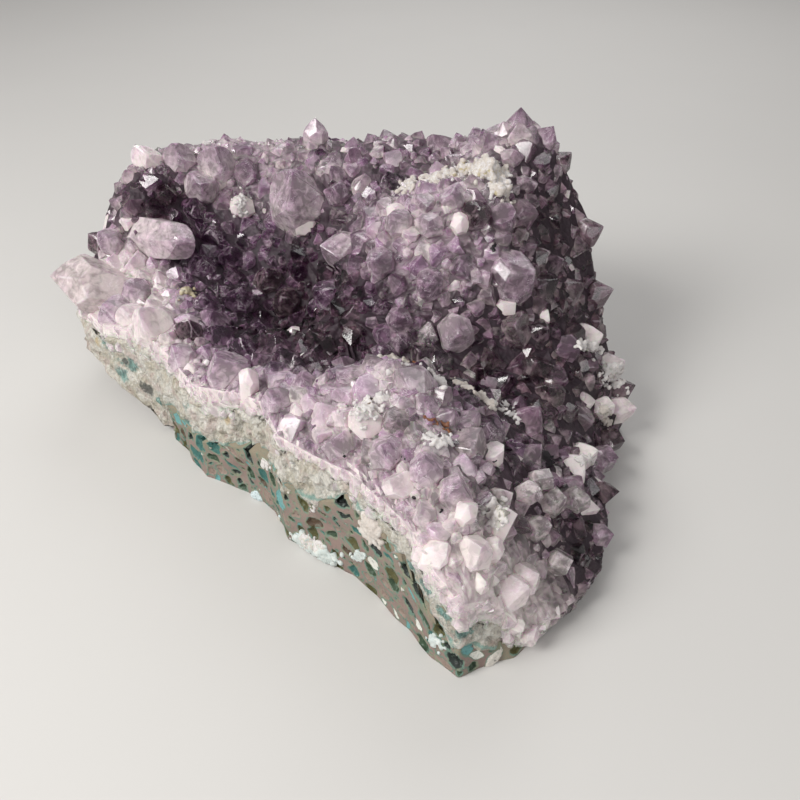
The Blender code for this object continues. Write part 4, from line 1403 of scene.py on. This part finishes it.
def amethyst_finish(settings):
    finish = Finish("amethyst")
    violet = finish.attribute("violet")
    milk = finish.attribute("milk")
    smoke = finish.attribute("smoke")
    edge = finish.attribute("facet_edge")
    along = finish.attribute("along")
    cloud = finish.noise(5.0, 3, 0.55)
    wisp = finish.noise(2.2, 3, 0.55, warp=0.6)
    fine = finish.noise(0.35, 2, 0.5)
    depth = (violet + (cloud - 0.5) * 0.7 + (along - 0.5) * 0.25).step(0.0, 1.0)
    clear = finish.blend(depth, solid(settings.water), solid(settings.violet))
    clear = finish.blend(smoke * 0.9, clear, solid(settings.smoke))
    milky = finish.blend(depth, solid(settings.milk), solid(settings.lilac))
    milky = finish.blend(smoke * 0.7, milky, (0.145, 0.065, 0.068, 1))
    # Facets whiten towards their edges: partly whitish zoning, partly painted highlight on the edges
    rim = (edge + (wisp - 0.5) * 0.2).step(0.9, 1.0) * cloud.step(0.42, 0.6)
    haze = (milk * 0.9 + 0.16 + (wisp - 0.5) * 1.2 + (cloud - 0.5) * 0.7 - (along - 0.4) * 0.25).step(0.0, 1.0)
    haze = haze.most(rim * 0.5).most(milk * 1.1 - 0.15)
    milky = finish.blend(rim * 0.5, milky, (0.72, 0.66, 0.68, 1))
    veins = finish.noise(3.0, 4, 0.62, warp=1.4)
    vein = (veins - 0.5).maths("ABSOLUTE", veins - 0.5).step(0.022, 0.004) * cloud.step(0.45, 0.58)
    vein = vein * (1.0 - smoke).step(0.3, 0.85)
    haze = haze.most(vein * 0.85)
    milky = finish.blend(vein * 0.75, milky, (0.80, 0.76, 0.77, 1))
    bed = finish.attribute("bed")
    normal = finish.bump(fine, 0.02, 0.4)
    normal = finish.bump(finish.cells(1.3) * bed, 0.35, 0.8, normal)
    rough_bed = bed * 0.3
    gloss = finish.principled(
        base_color=clear, roughness=0.08 + wisp * 0.12 + rough_bed, ior=1.544, transmission_weight=1.0,
        normal=normal,
    )
    matt = finish.principled(
        base_color=milky, roughness=0.14 + wisp * 0.2 + rough_bed, ior=1.544, normal=normal, subsurface_weight=0.8,
        subsurface_radius=(0.0030, 0.0020, 0.0030), subsurface_scale=1.0,
    )
    surface = finish.add("ShaderNodeMixShader", None, {0: haze, 1: gloss, 2: matt})
    # Painted shade: bed faces in smoky and violet zones blend to this near-black shader, the shade between the
    # crystals
    dark = finish.principled(base_color=(0.022, 0.010, 0.018, 1), roughness=0.7, normal=normal)
    painted_gap_shade = bed * (smoke + violet * 0.4 - milk * 0.5).step(0.35, 0.95) * 0.85
    surface = finish.add("ShaderNodeMixShader", None, {0: painted_gap_shade, 1: surface, 2: dark})
    volume = finish.add(
        "ShaderNodeVolumeAbsorption", None,
        {"Color": solid(settings.absorption), "Density": settings.density},
    )
    return finish.output(surface, volume)


# Small growths

LUMP_STEP = 0.28
REACH = 9.0
GROWTH_SEED = 3


def growth_points(rng, tree, number, spread, path):
    """Places on the surface near a path, with the surface's normals. What stands before the path
    as seen from the front gets the growth, so that crystals don't hide it."""
    path = [Vector(point) * MM for point in path]
    for _ in range(number):
        share = rng.random() * (len(path) - 1)
        leg = min(int(share), len(path) - 2)
        start = path[leg] if len(path) > 1 else path[0]
        end = path[leg + 1] if len(path) > 1 else path[0]
        away = Vector((rng.gauss(0, 0.5), rng.gauss(0, 0.5), rng.gauss(0, 0.5))) * spread * MM
        spot = start.lerp(end, share - leg) + away
        seen = Vector(CAMERA_PLACE) * MM
        place, normal, _, _ = tree.ray_cast(seen, spot - seen)
        if place is None or (place - spot).length > REACH * MM:
            place, normal, _, _ = tree.find_nearest(spot)
        yield place, normal


def ball():
    """An icosahedron of radius 1 as an array of corners and one of faces."""
    mesh = bmesh.new()
    bmesh.ops.create_icosphere(mesh, subdivisions=1, radius=1.0)
    corners = np.array([tuple(vert.co) for vert in mesh.verts])
    faces = np.array([[vert.index for vert in face.verts] for face in mesh.faces])
    mesh.free()
    return corners, faces


def grow_lumps(name, surface, growths, seed):
    """A table's growths as one piece of fused lumps on a surface. Each point has its lump's look."""
    rng = random.Random(seed)
    tree = BVHTree.FromObject(surface, bpy.context.evaluated_depsgraph_get())
    corners, faces = ball()
    points, triangles, centres, looks = [], [], [], []
    for look, number, spread, smallest, largest, path in growths:
        for place, normal in growth_points(rng, tree, number, spread, path):
            radius = rng.uniform(smallest, largest) * MM
            centre = place + normal * radius * 0.1
            centre.z = max(centre.z, radius * 1.2)
            squash = Matrix.Diagonal((rng.uniform(0.7, 1.2), rng.uniform(0.7, 1.2), rng.uniform(0.5, 0.9)))
            turn = normal.to_track_quat("Z", "Y").to_matrix()
            triangles.append(faces + len(points) * len(corners))
            points.append(radius * corners @ np.array(turn @ squash).T + centre)
            centres.append(centre)
            looks.append(GROWTH_COLOURS[look][0])
    data = bpy.data.meshes.new(name)
    data.from_pydata(np.concatenate(points).tolist(), [], np.concatenate(triangles).tolist())
    piece = add_object(name, data)
    remesh = piece.modifiers.new("fuse", "REMESH")
    remesh.mode = "VOXEL"
    remesh.voxel_size = LUMP_STEP * MM
    data = apply_modifiers(piece)
    nearest = KDTree(len(centres))
    for index, centre in enumerate(centres):
        nearest.insert(centre, index)
    nearest.balance()
    layer = data.attributes.new("look", "FLOAT", "POINT")
    layer.data.foreach_set("value", [looks[nearest.find(vert.co)[1]] for vert in data.vertices])
    data.shade_smooth()
    return piece


def growth_finish():
    finish = Finish("small_growths")
    look = finish.attribute("look")
    grain = finish.noise(0.5, 3, 0.6)
    drift = finish.noise(2.5, 3, 0.6)
    stops = []
    for place, colour in GROWTH_COLOURS.values():
        stops.append((max(0.0, place - 0.05), solid(colour)))
    colour = finish.ramp(look, stops, "CONSTANT")
    colour = finish.blend(drift.step(0.45, 0.7) * look.step(0.6, 0.5) * 0.4, colour, (0.80, 0.79, 0.75, 1))
    colour = finish.blend(grain.step(0.5, 0.3) * 0.35, colour, (0.30, 0.26, 0.24, 1), "MULTIPLY")
    shader = finish.principled(
        base_color=colour, roughness=0.35 + grain * 0.4, normal=finish.bump(grain, 0.12, 0.7),
        subsurface_weight=0.3, subsurface_radius=(0.001, 0.0009, 0.0008), subsurface_scale=1.0,
    )
    return finish.output(shader)


# Operators

class CLUSTER_OT_basalt(Operator):
    """Break out the basalt with its gas holes"""

    bl_idname = "cluster.basalt"
    bl_label = "Basalt"

    def execute(self, context):
        settings = context.scene.amethyst_cluster.basalt
        layer = basalt_layer(divided_bearings(*BASALT_SEGMENTS), BASALT_RINGS)
        edge, filling = carve_holes(layer, scatter_holes(layer, settings))
        x, y, z = np.moveaxis(layer.points, -1, 0)
        seam = np.exp(-np.abs(basalt_top(x, y) - z) / SEAM_WIDTH)
        values = {"hole_edge": edge, "hole_filling": filling, "seam": seam}
        data = layer.mesh("vesicular_basalt", values)
        data.shade_smooth()
        finish_piece(add_object("vesicular_basalt", data), "basalt", "basalt_matrix", basalt_finish(settings))
        return {"FINISHED"}


class CLUSTER_OT_rind(Operator):
    """Grow the cream rind over the basalt"""

    bl_idname = "cluster.rind"
    bl_label = "Rind"

    def execute(self, context):
        settings = context.scene.amethyst_cluster.rind
        layer = rind_layer(divided_bearings(*RIND_SEGMENTS), RIND_RINGS)
        points = layer.points
        x, y, z = np.moveaxis(points, -1, 0)
        sugar = sum(share * smooth_noise(x / size, y / size, z / size) for size, share in SUGAR)
        cover = covered(x, y)
        layer.points = points + layer.normals() * ((1 - cover) * sugar)[..., None]
        stains = {f"{kind}_stain": stain_grid(layer, kind) for kind in ("teal", "ochre", "shade")}
        stains["covered"] = cover
        open_side = 1 - wraps(BASALT_INSET, layer.bearing, WRAPPED_BASALT)
        stains["seam"] = open_side * np.exp(-np.abs(z - basalt_top(x, y)) / SEAM_WIDTH)
        piece = add_object("cream_rind", layer.mesh("cream_rind", stains))
        cutter = add_object("rind_cutter", basalt_layer(divided_bearings(200, 120), (8, 12)).mesh("rind_cutter"))
        boolean(piece, "DIFFERENCE", cutter)
        apply_modifiers(piece)
        discard(cutter)
        piece.data.shade_smooth()
        finish_piece(piece, "rind", "quartz_rind", rind_finish(settings))
        return {"FINISHED"}


class CLUSTER_OT_crust(Operator):
    """Grow the crust of amethyst crystals over the rind"""

    bl_idname = "cluster.crust"
    bl_label = "Crystal crust"

    def execute(self, context):
        settings = context.scene.amethyst_cluster.crystals
        crystals = Crystals(settings.seed)
        for group, heroes in HEROES.items():
            shapes = crystals.round_shapes if group == "rounded" else None
            for x, y, radius, height, way, look in heroes:
                place = (x, y, float(bed_height(x, y)))
                crystals.plant(place, radius, height, way, LOOKS[look], radius * HERO_ROOM, shapes)
        large, medium, small = (size / MM for size in (settings.large, settings.medium, settings.small))
        layer = crust_layer(divided_bearings(*CRUST_SEGMENTS), CRUST_RINGS)
        crystals.scatter(large, 0.62, 1500, settings.lean, 200)
        crystals.line_side(layer, medium, 0.55, 8000)
        crystals.scatter(medium, 0.6, 7000, settings.lean, 1250)
        crystals.scatter(small, 0.55, 18000, settings.lean * 1.3, 1500)
        x, y, z = np.moveaxis(layer.points, -1, 0)
        druse = DRUSE * smooth_noise(x / 1.6, y / 1.6, z / 1.6)
        grown = wraps(RIND_INSET, layer.bearings, WRAPPED_RIND)
        druse[layer.side_start:] *= 0.25 + 0.75 * grown
        layer.points = layer.points + layer.normals() * druse[..., None]
        piece = add_object("amethyst_crust", layer.mesh("amethyst_crust"))
        piece.data.attributes.new("crystal", "INT", "FACE")
        boolean(piece, "UNION", crystals.collection)
        cutters = []
        for name, maker in (("rind", rind_layer), ("basalt", basalt_layer)):
            cutter_layer = shrunk(maker(divided_bearings(*CUTTER_SEGMENTS), (8, 6)), BOND)
            cutters.append(add_object(f"{name}_core", cutter_layer.mesh(f"{name}_core")))
            boolean(piece, "DIFFERENCE", cutters[-1])
        apply_modifiers(piece)
        discard(*cutters, *crystals.collection.objects)
        bpy.data.collections.remove(crystals.collection)
        crust_attributes(piece.data, crystals.looks)
        print("crust has", len(crystals.looks), "crystals,", len(piece.data.polygons), "faces")
        finish_piece(piece, "amethyst", "amethyst_crystals", amethyst_finish(settings))
        return {"FINISHED"}


class CLUSTER_OT_growths(Operator):
    """Add the small white, cream and dark growths on the crystals"""

    bl_idname = "cluster.growths"
    bl_label = "Small growths"

    def execute(self, context):
        material = growth_finish()
        for name, slot, surface, growths in (
            ("crystal_growths", "rind", "amethyst_crust", GROWTHS),
            ("rock_growths", "rind", "vesicular_basalt", ROCK_GROWTHS),
        ):
            piece = grow_lumps(name, bpy.data.objects[surface], growths, GROWTH_SEED)
            finish_piece(piece, slot, None, material)
        return {"FINISHED"}


# Camera in the row frame, millimetres and degrees
CAMERA_PLACE = (15.0, -180.0, 165.0)
CAMERA_DROP = 38.0
CAMERA_LENS = 36.9


def area_light(name, place, target, size, power, colour=(1, 1, 1)):
    data = bpy.data.lights.new(name, "AREA")
    data.size = size
    data.energy = power
    data.color = colour
    light = add_object(name, data)
    light.location = place
    light.rotation_euler = (Vector(target) - Vector(place)).to_track_quat("-Z", "Y").to_euler()
    return light


class CLUSTER_OT_stage(Operator):
    """Set up the floor, the light and the camera"""

    bl_idname = "cluster.stage"
    bl_label = "Stage"

    def execute(self, context):
        settings = context.scene.amethyst_cluster.studio
        sheet = bmesh.new()
        bmesh.ops.create_grid(sheet, x_segments=1, y_segments=1, size=1.5)
        data = bpy.data.meshes.new("floor")
        sheet.to_mesh(data)
        sheet.free()
        floor = add_object("floor", data)
        finish = Finish("floor")
        tone = finish.noise(60, 2, 0.5)
        shade = finish.blend(tone * 0.12, solid(settings.floor), (0.5, 0.49, 0.47, 1))
        data.materials.append(finish.output(finish.principled(base_color=shade, roughness=0.6)))
        floor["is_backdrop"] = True
        middle = (0.0, 0.0, 0.03)
        area_light("key", (-0.46, -0.28, 0.52), middle, 0.32, settings.key, (1.0, 0.985, 0.96))
        area_light("fill", (0.1, 0.6, 0.5), middle, 0.5, settings.fill)
        area_light("front", (0.28, -0.55, 0.38), middle, 0.35, settings.front)
        world = bpy.data.worlds.new("surround")
        context.scene.world = world
        world.use_nodes = True
        tree = world.node_tree
        background = tree.nodes["Background"]
        background.inputs["Strength"].default_value = settings.sky
        background.inputs["Color"].default_value = (0.84, 0.82, 0.82, 1.0)
        camera = bpy.data.cameras.new("camera")
        camera.lens = CAMERA_LENS
        holder = add_object("camera", camera)
        holder.location = Vector(CAMERA_PLACE) * MM
        holder.rotation_euler = (math.radians(90 - CAMERA_DROP), 0, 0)
        context.scene.camera = holder
        context.scene.view_settings.view_transform = "Standard"
        return {"FINISHED"}


OPERATORS = (
    CLUSTER_OT_basalt, CLUSTER_OT_rind, CLUSTER_OT_crust, CLUSTER_OT_growths, CLUSTER_OT_stage,
)


class CLUSTER_PT_panel(Panel):
    """The steps of the cluster and their settings"""

    bl_idname = "CLUSTER_PT_panel"
    bl_label = "Amethyst cluster"
    bl_space_type = "VIEW_3D"
    bl_region_type = "UI"
    bl_category = "Amethyst"

    def draw(self, context):
        for operator in OPERATORS:
            self.layout.operator(operator.bl_idname)
        for group in (getattr(context.scene.amethyst_cluster, name) for name in ("crystals", "rind", "basalt", "studio")):
            box = self.layout.box()
            for name in group.bl_rna.properties.keys():
                if name not in {"rna_type", "name"}:
                    box.prop(group, name)


CLASSES = (
    CrystalSettings, RindSettings, BasaltSettings, StudioSettings, ClusterSettings,
    *OPERATORS, CLUSTER_PT_panel,
)


def register():
    for item in CLASSES:
        bpy.utils.register_class(item)
    bpy.types.Scene.amethyst_cluster = PointerProperty(type=ClusterSettings)


def unregister():
    del bpy.types.Scene.amethyst_cluster
    for item in reversed(CLASSES):
        bpy.utils.unregister_class(item)


def main():
    register()
    bpy.ops.cluster.stage()
    bpy.ops.cluster.basalt()
    bpy.ops.cluster.rind()
    bpy.ops.cluster.crust()
    bpy.ops.cluster.growths()
    bpy.context.view_layer.update()
    boxes = {"cad": CAD_BOX, "visual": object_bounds()}
    {name: [list(corner) for corner in box] for name, box in boxes.items()}


if __name__ == "__main__":
    main()
